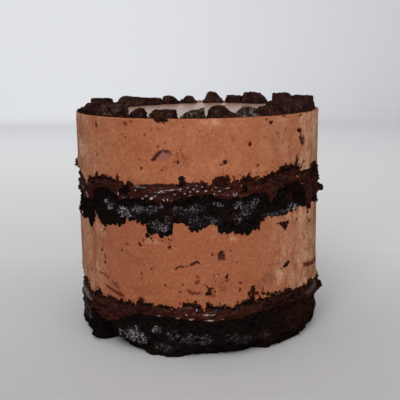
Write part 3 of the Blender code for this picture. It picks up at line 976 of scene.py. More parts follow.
ganacheLower = {
    **ganacheLayer,
    "node": "ganache_lower",
    "rows": 32,
    "lowLine": spongeLowerTop,
    "highLine": ganacheLowerTop,
    "painted": (
        (-90, 0.9), (-72, 0.95), (-62, 0.78), (-30, 0.74), (-16, 0.8), (-8, 0.9), (6, 0.95), (18, 0.78),
        (26, 0.3), (40, 0.1), (62, 0.1), (70, 0.7), (78, 0.7), (90, 0.2), (110, 0.78), (150, 0.85),
        (180, 0.3), (-150, 0.78),
    ),
    "marks": {
        "gloss": (
            (-17.6, 26.1, 4, 1.6, 0, 0.6, 1), (-1.2, 30.3, 1.6, 2.8, 0, 0.6, 1),
            (3.8, 27.4, 13, 1.9, 0, 0.7, 1), (-5.5, 27.6, 3, 1.2, 0, 0.4, 1),
            (-9.5, 25.6, 5, 1.2, 0, 0.4, 1), (9.6, 24.6, 4, 1.2, 0, 0.4, 1),
            (-3.2, 24.6, 6, 1.4, 0, 0.6, 1), (4, 23.9, 9, 1.4, 0, 0.6, 1), (-2.3, 28, 2.6, 2.0, 30, 0.6, 1),
            (-58, 21, 1.6, 1.4, 0, 0.4, 1), (-18.5, 24.6, 3, 1.2, 0, 0.4, 1), (-83, 32, 38, 24, 0, -3.6, 0),
            (83, 29, 22, 11, 0, -1.8, 0), (80.4, 24.9, 6, 6, 0, 1.6, 0),
        ),
    },
    # A grey painted sheen where the smooth ganache turns away at the sides
    "patches": (
        ("paintedGreySheen", 2.4, 1.6, 0, 0.85, (
            (-89, 30), (-86, 33.4), (-81, 34), (-77, 36), (-70, 33.4), (-64, 30.4), (-59, 27), (-57, 24.2),
            (-60, 22.6), (-65, 23.2), (-72, 22.4), (-77, 22), (-80, 24.6), (-86, 26),
        )),
        ("paintedGreySheen", 1.5, 0.8, 0, 0.24, (
            (54, 27.5), (60, 29), (66, 30.4), (72, 31.4), (75, 30), (74, 26.5), (67, 25.4), (59, 25.4),
        )),
    ),
    "relief": lambda *place: ganacheRelief(*place, folds=0.6),
}

smallVoid = (
    (9.0, 63.9), (10.6, 63.4), (11.3, 60.7), (11.0, 57.8), (8.3, 57.8), (7.9, 60.1), (8.2, 62.5),
)
crack = (
    (-4.3, 55.2), (-3.4, 57), (-2.2, 58.0), (-0.4, 58.4), (0.2, 57.0), (-1.2, 56.2), (-2, 55.5), (-3, 55.2),
)
mousseLower = {
    **mousseLayer,
    "node": "mousse_lower",
    "rows": 92,
    "lowLine": ganacheLowerTop,
    "highLine": spongeUpperBottom,
    "highReach": 1.0,
    "painted": paleSides(1),
    "marks": {
        # dents with painted shade in them
        "holeShade": (
            (9.5, 62.9, 2.8, 2.1, 0, -0.4, 1), (8.5, 60.4, 1.2, 4.2, 0, -0.2, 0.9),
            (10.8, 60, 1.0, 4.6, 0, -0.2, 0.8), (-1.2, 57.9, 3.4, 1.4, 15, -0.4, 1),
            (-3.3, 56.3, 2.4, 1.2, 40, -0.3, 1), (0, 57.4, 1.6, 1.6, 0, -0.3, 1),
            (-9.4, 54.2, 3.8, 1.3, 45, -0.5, 1), (-7.3, 55.1, 3.4, 1.3, -4, -0.4, 1),
            (-5.2, 55.4, 2.6, 0.9, 15, -0.3, 0.9), (-46.6, 55.2, 1.7, 4.8, 3, -0.4, 0.85),
            (-48.8, 58.6, 4.2, 1.9, 41, -0.3, 0.75), (-59.6, 43.6, 2.0, 2.6, -20, -0.3, 0.75),
            (5.6, 61.9, 2.0, 1.4, -20, -0.3, 1), (13.8, 63.6, 1.5, 1.5, 0, -0.2, 0.8),
            (-26, 66.7, 2.2, 2.6, 30, -0.4, 1), (-24.2, 69.1, 1.7, 2.4, 0, -0.3, 0.7),
            (-12.5, 66, 2.1, 2.8, 0, -0.4, 1), (-35.5, 61.7, 1.8, 1.7, 0, -0.3, 0.8),
            (-25.5, 49.2, 1.9, 1.8, 0, -0.3, 0.75), (-25.6, 46.5, 1.6, 1.5, 0, -0.2, 0.65),
            (-20.7, 52.8, 1.6, 2.0, -30, -0.3, 0.75), (-6.8, 44.7, 1.6, 1.6, 0, -0.3, 0.75),
            (-12.6, 68.4, 1.5, 1.5, 0, -0.2, 0.6), (43, 57, 1.2, 3.4, 0, -0.3, 0.4),
            (-55.5, 70, 1.7, 2.4, -25, -0.3, 0.7), (-32.6, 66.0, 1.3, 1.3, 0, -0.2, 0.6),
            (-1.2, 60.6, 1.4, 1.2, 0, -0.2, 0.5), (37, 64.8, 1.3, 1.3, 0, -0.2, 0.6),
        ),
        "smear": (
            (-46.6, 51.8, 3.2, 2.4, 1), (-0.6, 49.4, 2.4, 2.4, 0.8), (-33.6, 65.5, 1.8, 1.8, 0.6),
            (-36.5, 34.8, 6, 4, -30, 0, 0.8), (-14.5, 43.9, 2.2, 1.9, 0, -0.1, 1),
            (-8.2, 40.3, 2.8, 2.0, 0, -0.1, 1), (-25.8, 33.6, 5.6, 5, -20, 0, 1), (-8, 33.8, 3, 2.4, 0.6),
            (5.5, 38.5, 6, 3, 0.7), (17.8, 44.6, 3.6, 2.2, 0, -0.1, 1), (32, 44, 12, 13, 20, 0, 0.4),
            (26, 41, 9, 4, 0.3), (-24, 40, 24, 8, 0.18), (-30, 58, 14, 5, -30, 0, 0.15),
            (10, 42, 6, 5, 0.4), (140, 50, 16, 3, -25, 0, 0.7), (-150, 46, 14, 3, 30, 0, 0.7),
            (-105, 52, 12, 3, -20, 0, 0.6),
        ),
        "porous": (
            (-22, 56, 18, 12, 0.55), (10, 46, 18, 9, 0.7), (24, 44, 14, 8, 0.6), (0, 66, 30, 10, 0.3),
            (-14, 70.8, 9, 3, 1), (160, 55, 30, 14, 0.6), (-120, 60, 24, 10, 0.6),
        ),
        # patches of pale paint; those towards the sides are painted sheen
        "pale": (
            (-20, 69, 12, 5, 0.7), (14, 70.5, 8, 4, 0.7), (-50, 70, 18, 14, 0.7), (-54, 44, 20, 16, 0.8),
            (42, 62, 32, 28, 0.45), (38, 44, 26, 18, 0.7), (64, 60, 28, 34, 0.8),
        ),
    },
    "patches": (
        # voids pushed in, with painted shade over them
        ("voidShade", 0.7, 0.2, -2.2, 1, smallVoid),
        ("holeShade", 0.9, 0.3, 0, 0.82, smallVoid),
        ("voidShade", 0.7, 0.2, -1.4, 1, crack),
        ("holeShade", 0.9, 0.3, 0, 0.85, crack),
        ("smear", 1.2, 0.7, 0, 1, (
            (-48.2, 38.6), (-45.6, 38.8), (-42.2, 38.0), (-38.2, 36.8), (-34.4, 34.2), (-35.6, 32.6),
            (-37.9, 32.9), (-40.5, 34.0), (-44.1, 35.2), (-47, 36.2),
        )),
        ("smear", 1.1, 0.7, 0, 0.85, (
            (-55, 45.2), (-50.6, 45.8), (-46.3, 45.5), (-44.0, 44.4), (-42.8, 42.2), (-45.2, 42.2),
            (-48, 43.1), (-51.4, 43.6),
        )),
        ("smear", 1.2, 0.6, 0, 0.7, (
            (-43, 43.2), (-40.5, 41.8), (-38.3, 43.6), (-37.7, 40.6), (-36.8, 37.6), (-38.6, 36.6),
            (-40.8, 38.3), (-42.6, 40.2),
        )),
        ("smear", 1.0, 0.5, 0, 0.4, (
            (-47, 49.2), (-45.0, 49.2), (-43.8, 47.2), (-45.8, 47.2),
        )),
        ("smear", 1.3, 0.7, 0, 1, (
            (-6.2, 43.2), (-4.1, 42.7), (-2.4, 41.2), (1.4, 41.2), (1.4, 38.6), (-2.4, 38.4), (-4.1, 38.6),
            (-5.6, 40.4),
        )),
        ("smear", 1.1, 0.6, 0, 1, (
            (-2.2, 47.9), (0.9, 48.0), (0.6, 45.3), (-1.0, 43.7), (-2.2, 45.1),
        )),
        ("smear", 1.1, 0.6, 0, 1, (
            (54.0, 47.8), (60.2, 47.2), (68.0, 45.1), (72.5, 45.6), (82, 44.4), (82, 39.2), (70.2, 41.2),
            (60.9, 42.4), (56.5, 43.9),
        )),
    ),
}
spongeUpper = {
    **spongeLayer,
    "node": "sponge_upper",
    "rows": 46,
    "lowLine": spongeUpperBottom,
    "highLine": spongeUpperTop,
    "lowRound": 0.4,
    "painted": (
        (-90, 0), (-46, 0), (-38, 0.05), (-12, 0.1), (8, 0.08), (28, 0.08), (36, 0.03), (50, 0.03), (75, 0),
        (100, 0.05), (130, 0.3), (170, 0.15), (-150, 0.3), (-120, 0.05),
    ),
    "marks": {
        # painted highlights on the crumb; the mark that paints 0 only pushes the wall
        "paintedSparkle": (
            (-43.2, 87.4, 12, 7, -20, 0, 1), (-34.5, 85, 10, 7, 1), (-32.5, 83.5, 10, 8, 1),
            (-27, 86.8, 11, 7, 10, 0, 0.55), (-20.5, 87, 11, 7, 0.48), (-15.8, 89.4, 3.4, 4.4, 1),
            (-18.5, 78.5, 11, 6, 0.6), (-14.8, 77, 7, 6, 0.9), (-12.5, 81.5, 7, 6, 0.35),
            (-8.5, 87, 11, 7, 0.38), (-1.5, 87.5, 16, 7, 6, 0, 0.45), (-1, 81, 12, 7, 0.4),
            (8.5, 90.3, 9, 3, -8, 0, 0.9), (5, 83, 13, 8, 0.15), (6.2, 80.6, 7, 3, 0.4),
            (17.5, 89.4, 9, 6, 0.6), (20.5, 86, 10, 9, 0.5), (24.5, 89.5, 7, 8, 0.6), (16.5, 81, 7, 7, 0.5),
            (30, 82.4, 8, 3.4, 10, 0, 0.5), (37, 82.2, 11, 3.2, 5, 0, 0.5), (43.8, 84.2, 9, 4.6, 20, 0, 1),
            (48.8, 82.8, 7, 5, 20, 0, 1), (58, 79.5, 3, 5, 1), (-52, 81.5, 2.4, 2, 0.9),
            (120, 86, 24, 10, 0.9), (160, 84, 30, 8, 0.8), (-150, 86, 30, 10, 0.9), (-115, 84, 18, 8, 0.7),
            (-83, 86, 30, 28, 0, -3.6, 0),
        ),
        # grey painted sheen
        "sheenFilm": (
            (-31, 83, 13, 8, 1), (-41, 87, 10, 6, -20, 0, 0.8), (-16.5, 77.5, 12, 8, 0.6),
            (36, 82, 16, 3.6, 5, 0, 1), (45, 84, 12, 4, 20, 0, 0.9), (4, 81.5, 20, 9, 0.5),
            (-2, 85, 20, 12, 0.25), (20, 87, 12, 10, 0.2),
        ),
        "brown": (
            (46, 90, 18, 12, 20, 0, 0.8), (62, 90, 20, 16, 1), (-10, 84, 20, 10, 0.4), (12, 84, 14, 8, 0.5),
            (-30, 79, 8, 4, 0.5), (140, 86, 30, 10, 0.7),
        ),
    },
    "relief": spongeRelief,
}
ganacheUpper = {
    **ganacheLayer,
    "node": "ganache_upper",
    "rows": 36,
    "lowLine": spongeUpperTop,
    "highLine": ganacheUpperTop,
    "painted": (
        (-90, 0.5), (-74, 0.75), (-64, 0.85), (-38, 0.82), (-33, 0.3), (-31, 0.5), (-28, 0.85), (-18, 0.9),
        (18, 0.9), (24, 0.75), (28, 0.4), (36, 0.1), (85, 0.1), (110, 0.78), (150, 0.85), (180, 0.3),
        (-150, 0.85), (-120, 0.5),
    ),
    "marks": {
        "gloss": (
            (-57.7, 90.6, 6.5, 7, 0, 1.0, 1), (-10.8, 99.0, 25.5, 1.5, 7.4, 0.7, 1),
            (-16, 97.4, 16, 1.4, 2, 0.6, 1), (-23.5, 93.5, 2, 2.4, 0, 0.7, 1),
            (-19.1, 93.8, 5, 2.8, 15, 0.9, 1), (-14.3, 93.5, 2.2, 3, 20, 0.8, 1),
            (-12.5, 93.4, 1.8, 2.6, 0, 0.8, 1), (-10.9, 93.4, 2, 3, -20, 0.8, 1),
            (-7.2, 99.0, 3, 1.8, 0, 0.7, 1), (-4.1, 100.4, 2.4, 1.8, 0, 0.7, 1),
            (-0.9, 101.2, 2.4, 1.8, 0, 0.7, 1), (-3.3, 98.3, 3, 1.8, 20, 0.7, 1),
            (-0.1, 98.2, 2.6, 2.2, 0, 0.8, 1), (-3.4, 96.1, 2.6, 1.8, 0, 0.7, 1),
            (1.7, 100.8, 2, 1.6, 0, 0.6, 1), (-21.6, 95.0, 2.4, 1.6, 0, 0.5, 1),
            (-17.5, 95.3, 3, 1.6, 10, 0.5, 1), (-9.4, 96.6, 2.4, 1.6, 0, 0.5, 1),
            (-5.4, 97.2, 2, 1.6, 0, 0.6, 1), (-1.8, 99.6, 2, 1.4, 0, 0.5, 1),
            (8.8, 97.8, 2, 1.4, 0, 0.5, 1), (-26.8, 97.8, 1.8, 1.2, 0, 0.4, 1),
            (-7.6, 94.9, 1.8, 1.2, 0, 0.4, 1), (1.2, 95.2, 1.8, 1.2, 0, 0.4, 1),
            (3.2, 98.2, 2.2, 1.8, 0, 0.7, 1), (5.9, 98.9, 2.2, 1.8, 0, 0.7, 1),
            (7.2, 100.3, 2, 1.6, 0, 0.6, 1), (3.9, 96.1, 2, 1.6, 0, 0.6, 1),
            (12, 99.6, 3.6, 1.4, 10, 0.7, 1), (15.1, 95.8, 4.4, 4.4, 0, 1.0, 1),
            (17.9, 94.0, 3.2, 1.4, 10, 0.6, 1), (12.1, 95.5, 2, 1.8, 0, 0.6, 1),
            (10.4, 95.6, 2, 1.8, 0, 0.6, 1), (6.6, 96.5, 2, 1.8, 0, 0.6, 1),
            (-47, 99.5, 18, 2.4, -6, 0.5, 0.94), (-40, 94.5, 5, 5, 50, 0.5, 0.94),
            (-60, 98.6, 4, 2, 40, 0.4, 1), (-63.5, 93.6, 3, 3, 0, 0.5, 1), (-25, 99.6, 14, 1.2, 0, 0.4, 1),
            (-35.2, 95.2, 1.4, 4.4, 0, 1.0, 1), (-32.4, 92.9, 7, 1.4, -8, 1.0, 1),
            (-28.6, 93.4, 3, 1.4, 10, 0.6, 1), (-82, 97, 38, 18, 0, -4.2, 0), (84, 97, 30, 24, 0, -3.0, 0),
            (80.7, 88.4, 6, 6, 0, 1.6, 0), (-81, 103, 5, 9, 0, 1.1, 0),
        ),
        # grey painted sheen at the left side
        "paintedGreySheen": (
            (-77.5, 96.8, 4.4, 8, 22, 0, 0.8),
        ),
    },
    "relief": ganacheRelief,
}
mousseUpper = {
    **mousseLayer,
    "node": "mousse_upper",
    "rows": 74,
    # shares of the radius at which the top has rings of points, closer together at its lip
    "topRings": (
        0, 0.1, 0.2, 0.3, 0.4, 0.5, 0.6, 0.68, 0.75, 0.8, 0.84, 0.87, 0.9, 0.92, 0.935, 0.95, 0.96, 0.968,
        0.975, 0.981, 0.986, 0.990, 0.9935, 0.9965, 0.9988,
    ),
    "lowLine": ganacheUpperTop,
    "highReach": 0,
    "painted": paleSides(1.2),
    "marks": {
        # dents with painted shade in them
        "holeShade": (
            (-17.4, 117.4, 7.0, 1.6, 45, -0.4, 0.8), (-19.0, 115.0, 2.6, 1.6, 20, -0.4, 0.9),
            (-13.6, 119.2, 1.5, 1.5, 0, -0.3, 0.9), (-14.6, 120.0, 6, 0.8, 4, -0.2, 0.4),
            (32.2, 133.9, 2.2, 1.9, -20, -0.7, 1), (33.2, 134.0, 1.9, 1.8, 20, -0.7, 1),
            (32.7, 133.4, 1.5, 1.3, 0, -0.4, 1), (30.2, 135.6, 1.9, 1.8, 30, -0.4, 0.8),
            (22.3, 122.7, 2.3, 3.0, 0, -0.6, 1), (11.4, 113.5, 3.2, 3.0, 0, -0.7, 1),
            (9.8, 112.3, 3.6, 1.3, 15, -0.2, 0.65), (25.9, 110.7, 2.2, 2.0, 0, -0.3, 0.8),
            (36.3, 127.5, 1.8, 1.8, 0, -0.3, 0.8), (67.7, 112.1, 2.6, 2.0, 0, -0.3, 0.9),
            (-24.2, 110, 1.9, 2.3, 0, -0.3, 0.9), (-8.2, 113.9, 1.8, 2.4, 0, -0.4, 1),
            (-9.6, 114.1, 1.2, 1.2, 0, -0.3, 0.6), (-15, 109.5, 1.9, 1.4, 0, -0.3, 0.7),
            (-49.7, 132.4, 2.8, 4.0, 30, -0.4, 0.85), (-22.3, 128.9, 1.6, 1.6, 0, -0.2, 0.75),
            (-49.6, 115.2, 1.7, 2.0, 0, -0.2, 0.7), (-16.6, 122.2, 1.5, 1.5, 0, -0.2, 0.65),
            (-13.4, 124.5, 1.4, 1.4, 0, -0.2, 0.65), (43, 119, 1.4, 1.4, 0, -0.2, 0.6),
            (-19.2, 131.7, 1.3, 1.3, 0, -0.2, 0.6), (-16.2, 131.8, 1.3, 1.3, 0, -0.2, 0.6),
            (-31.6, 126.9, 1.4, 1.4, 0, -0.2, 0.6),
        ),
        "smear": (
            (-31.6, 134.6, 3.6, 3.6, 60, 0, 0.9), (-28.6, 135.5, 2.4, 2.6, 0.6),
            (-25.1, 115, 1.8, 1.6, 0.7), (-31.6, 126.9, 1.4, 1.4, 0.6), (0.9, 130.8, 1.8, 1.8, 0.7),
            (4, 129, 1.4, 1.4, 0.5), (13.4, 128.2, 1.2, 4, 0.4), (-7, 116, 8, 7, 0.25),
            (-20, 121, 26, 10, 0.1), (10, 125, 30, 12, 0.08), (150, 118, 16, 3, -25, 0, 0.4),
            (-140, 112, 14, 3, 30, 0, 0.4),
        ),
        "porous": (
            (-7.4, 119.5, 7, 9, 1), (-4.8, 115.5, 7, 8, 1), (-9.4, 113, 9, 5, -15, 0, 1),
            (-14, 110.6, 5, 3, 0.9), (36, 126, 24, 18, 0.55), (44, 131, 14, 10, 0.6),
            (22, 112, 16, 14, 0.4), (-34, 122, 24, 16, 0.3), (150, 122, 30, 14, 0.7),
            (-130, 118, 24, 12, 0.7),
        ),
        # pale paint: painted sheen at the sides; the two marks highest at the front are pale smudges
        "pale": (
            (5.5, 135.4, 15, 5, 1.0), (-67, 117, 22, 18, 1.9), (-72, 128, 22, 18, 0.9),
            (67, 129, 22, 18, 1.7), (52, 118, 26, 30, 0.8), (14, 134, 14, 4, 0.3),
        ),
    },
    "patches": (
        # voids pushed in, with painted shade over them
        ("voidShade", 0.7, 0.15, -2.6, 1, (
            (-20.1, 114.6), (-18.9, 116.5), (-17.6, 118.8), (-15.8, 120.2), (-14.1, 120.7), (-12.2, 120.8),
            (-11.1, 119.6), (-10.9, 118.1), (-11.5, 116.4), (-12.8, 115.1), (-14.1, 114.3), (-15.9, 113.8),
            (-17.5, 113.6), (-19.4, 113.8),
        )),
        ("voidShade", 0.7, 0.15, -1.6, 1, (
            (48.2, 128.9), (52.9, 129.0), (53.4, 126.5), (52.8, 125.4), (54.5, 123.1), (54.9, 121.2),
            (54.4, 118.9), (52, 118.9), (50.8, 122.1), (49.8, 123.8), (50.8, 125.3), (50.1, 126.6),
            (48.4, 127),
        )),
        ("holeShade", 0.8, 0.2, 0, 1, (
            (48.2, 128.9), (52.9, 129.0), (53.4, 126.5), (52.8, 125.4), (54, 123.1), (51.2, 122.6),
            (49.8, 123.8), (50.8, 125.3), (50.1, 126.6), (48.4, 127),
        )),
        ("holeShade", 0.8, 0.2, 0, 0.85, (
            (50.0, 123.8), (54.8, 123.8), (55.3, 121.2), (54.8, 118.5), (51.6, 118.5), (50.4, 122.1),
        )),
    ),
}
for name, layer, finish, slot in (
        ("spongeLower", spongeLower, sponge, "sponge"),
        ("ganacheLower", ganacheLower, ganache, "ganache"),
        ("mousseLower", mousseLower, mousse, "mousse"),
        ("spongeUpper", spongeUpper, sponge, "sponge"),
        ("ganacheUpper", ganacheUpper, ganache, "ganache"),
        ("mousseUpper", mousseUpper, mousse, "mousse")):
    addPiece(name, makeLayer(layer), finish, slot, layer["node"])
print("layers made")

chunkShape = {
    "voxel": 0.36 * mm,
    "footBelow": 0.6 * mm,  # points up to this far above its foot are its foot
    "sink": 0.8 * mm,  # how far its foot reaches down into the mousse
    "broken": 0.5,
    "rough": 0.55,
    "crumb": 1.5,
    "pits": 2.4,
    "pitFrom": 0.25,
    # how much grey painted highlight lies on the faces of some, and on the rest
    "paintedGleam": {3: 0.35, 6: 0.9, 8: 0.95, 17: 0.15, 21: 0.2},
    "dry": 0.05,
}


# A copy of a mesh, remeshed finely
def remeshed(name, mesh, voxel):
    data = bpy.data.meshes.new(name + "Coarse")
    mesh.to_mesh(data)
    mesh.free()
    coarse = bpy.data.objects.new(name + "Coarse", data)
    bpy.context.scene.collection.objects.link(coarse)
    remesh = coarse.modifiers.new("remesh", "REMESH")
    remesh.mode = "VOXEL"
    remesh.voxel_size = voxel
    fine = bpy.data.meshes.new_from_object(coarse.evaluated_get(bpy.context.evaluated_depsgraph_get()))
    bpy.data.objects.remove(coarse)
    mesh = bmesh.new()
    mesh.from_mesh(fine)
    bpy.data.meshes.remove(fine)
    return mesh


# A broken piece of cake: the CAD chunk with crumbly relief over it
def makeChunk(name, node, shape, number):
    mesh = bmesh.new()
    mesh.from_mesh(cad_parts[node].data)
    bmesh.ops.remove_doubles(mesh, verts=mesh.verts, dist=weld)
    mesh = remeshed(name, mesh, shape["voxel"])
    mesh.normal_update()
    paintedGleam = floatLayer(mesh, "paintedGleam")
    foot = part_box(node)[0].z
    shift = Vector((number * 11.7, number * 5.3, 0))
    for vert in mesh.verts:
        point = vert.co / mm + shift
        relief = waves(point, shape["broken"], 4) + shape["rough"] * crumbRelief(point, shape["crumb"])
        relief -= peaks(point, shape["pits"], 1.7, shape["pitFrom"])
        vert[paintedGleam] = shape["paintedGleam"].get(number, shape["dry"])
        vert.co += vert.normal * relief * mm
        vert.co.z = max(vert.co.z, foot)
        if vert.co.z < foot + shape["footBelow"]:
            vert.co.z -= shape["sink"]
    bmesh.ops.recalc_face_normals(mesh, faces=mesh.faces)
    return mesh


chunkNodes = sorted(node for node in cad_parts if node.startswith("chunk"))
for number, node in enumerate(chunkNodes, start=1):
    name = f"chunk{number:02d}"
    addPiece(name, makeChunk(name, node, chunkShape, number), chunkCake, "chunk", node)
print("chunks made")


crumbBall = {"long": (0.7, 1.4), "wide": (0.55, 1.0), "tall": (0.6, 1.1), "lump": 0.7, "lumps": 2.6}


# Crumb shapes as points and triangles, each a small ball knocked out of shape
def crumbShapes(count, subdivisions, seed):
    dice = random.Random(seed)
    shapes = []
    for number in range(count):
        mesh = bmesh.new()
        bmesh.ops.create_icosphere(mesh, subdivisions=subdivisions, radius=0.5)
        stretch = Vector([dice.uniform(*crumbBall[side]) for side in ("long", "wide", "tall")])
        shift = Vector((number * 9.1, seed, 0))
        for vert in mesh.verts:
            lump = 1 + crumbBall["lump"] * noise.noise(vert.co * crumbBall["lumps"] + shift)
            vert.co = vert.co * stretch * lump
        points = np.array([vert.co[:] for vert in mesh.verts])
        faces = np.array([[vert.index for vert in face.verts] for face in mesh.faces])
        mesh.free()
        shapes.append((points, faces))
    return shapes


# Many crumbs as one mesh, each a turned and scaled copy of a shape
def joinCrumbs(name, shapes, crumbs, dice, finish, slot, paint, value):
    points, faces, count = [], [], 0
    for place, size in crumbs:
        shapePoints, shapeFaces = dice.choice(shapes)
        turn = Euler([dice.uniform(0, math.tau) for _ in range(3)]).to_matrix()
        points.append(shapePoints @ np.array(turn) * size + np.array(place))
        faces.append(shapeFaces + count)
        count += len(shapePoints)
    data = bpy.data.meshes.new(name)
    data.from_pydata(np.concatenate(points), [], np.concatenate(faces))
    data.attributes.new(paint, "FLOAT", "POINT").data.foreach_set("value", np.full(count, value))
    dressPiece(name, data, finish, slot)


# Where a ray meets the cake and which way the surface faces, or the place and way given for a miss
def hit(start, aim, place, normal):
    graph = bpy.context.evaluated_depsgraph_get()
    found, hitPlace, hitNormal, *_ = bpy.context.scene.ray_cast(graph, start, aim)
    return (hitPlace, hitNormal) if found else (place, normal)


def hitWall(azimuth, height):
    outward = direction(azimuth)
    start = outward * ringRadius * 1.3 + upward(height)
    return hit(start, -outward, onWall(azimuth, height), outward)


def hitTop(azimuth, inward):
    start = onWall(azimuth, 170 * mm, ringRadius - inward)
    return hit(start, upward(-1), onWall(azimuth, 137 * mm, ringRadius - inward), upward(1))


coverWaves = ((1, 2.6), (0.5, 1.2), (0.3, 9))


# How thickly crumbs lie at a place on the wall: connected patches and branches, none between them
def crumbCover(azimuth, height, seed):
    point = direction(azimuth) * ringRadius / mm + upward(height + seed)
    return addWaves(0, point, coverWaves)


crumbLaying = {
    "standOut": 0.18,  # share of its size that a crumb's middle stands out of the wall
    "standUp": 0.25,
    "heap": 1.1,  # how much further out in mm crumbs lie in the middle of a clump
    "scatter": 0.14,  # how far crumbs stray from a stroke, as a share of their size
    "strokeSizes": (0.8, 1.15),
    "edgeBar": (0.55, 0.75, 0.45),  # how seldom they lie by a bare edge, less where thick, more where far
    "clumpBar": (-0.75, 0.85),  # how seldom in the middle of a clump, and more at its rim
    "edgePower": 2.5,  # a higher power makes fewer large ones
    "clumpPower": 1.8,
    "rimPower": 1.5,
    "rimBelow": 140 * mm,  # none lie on top of the chunks
}

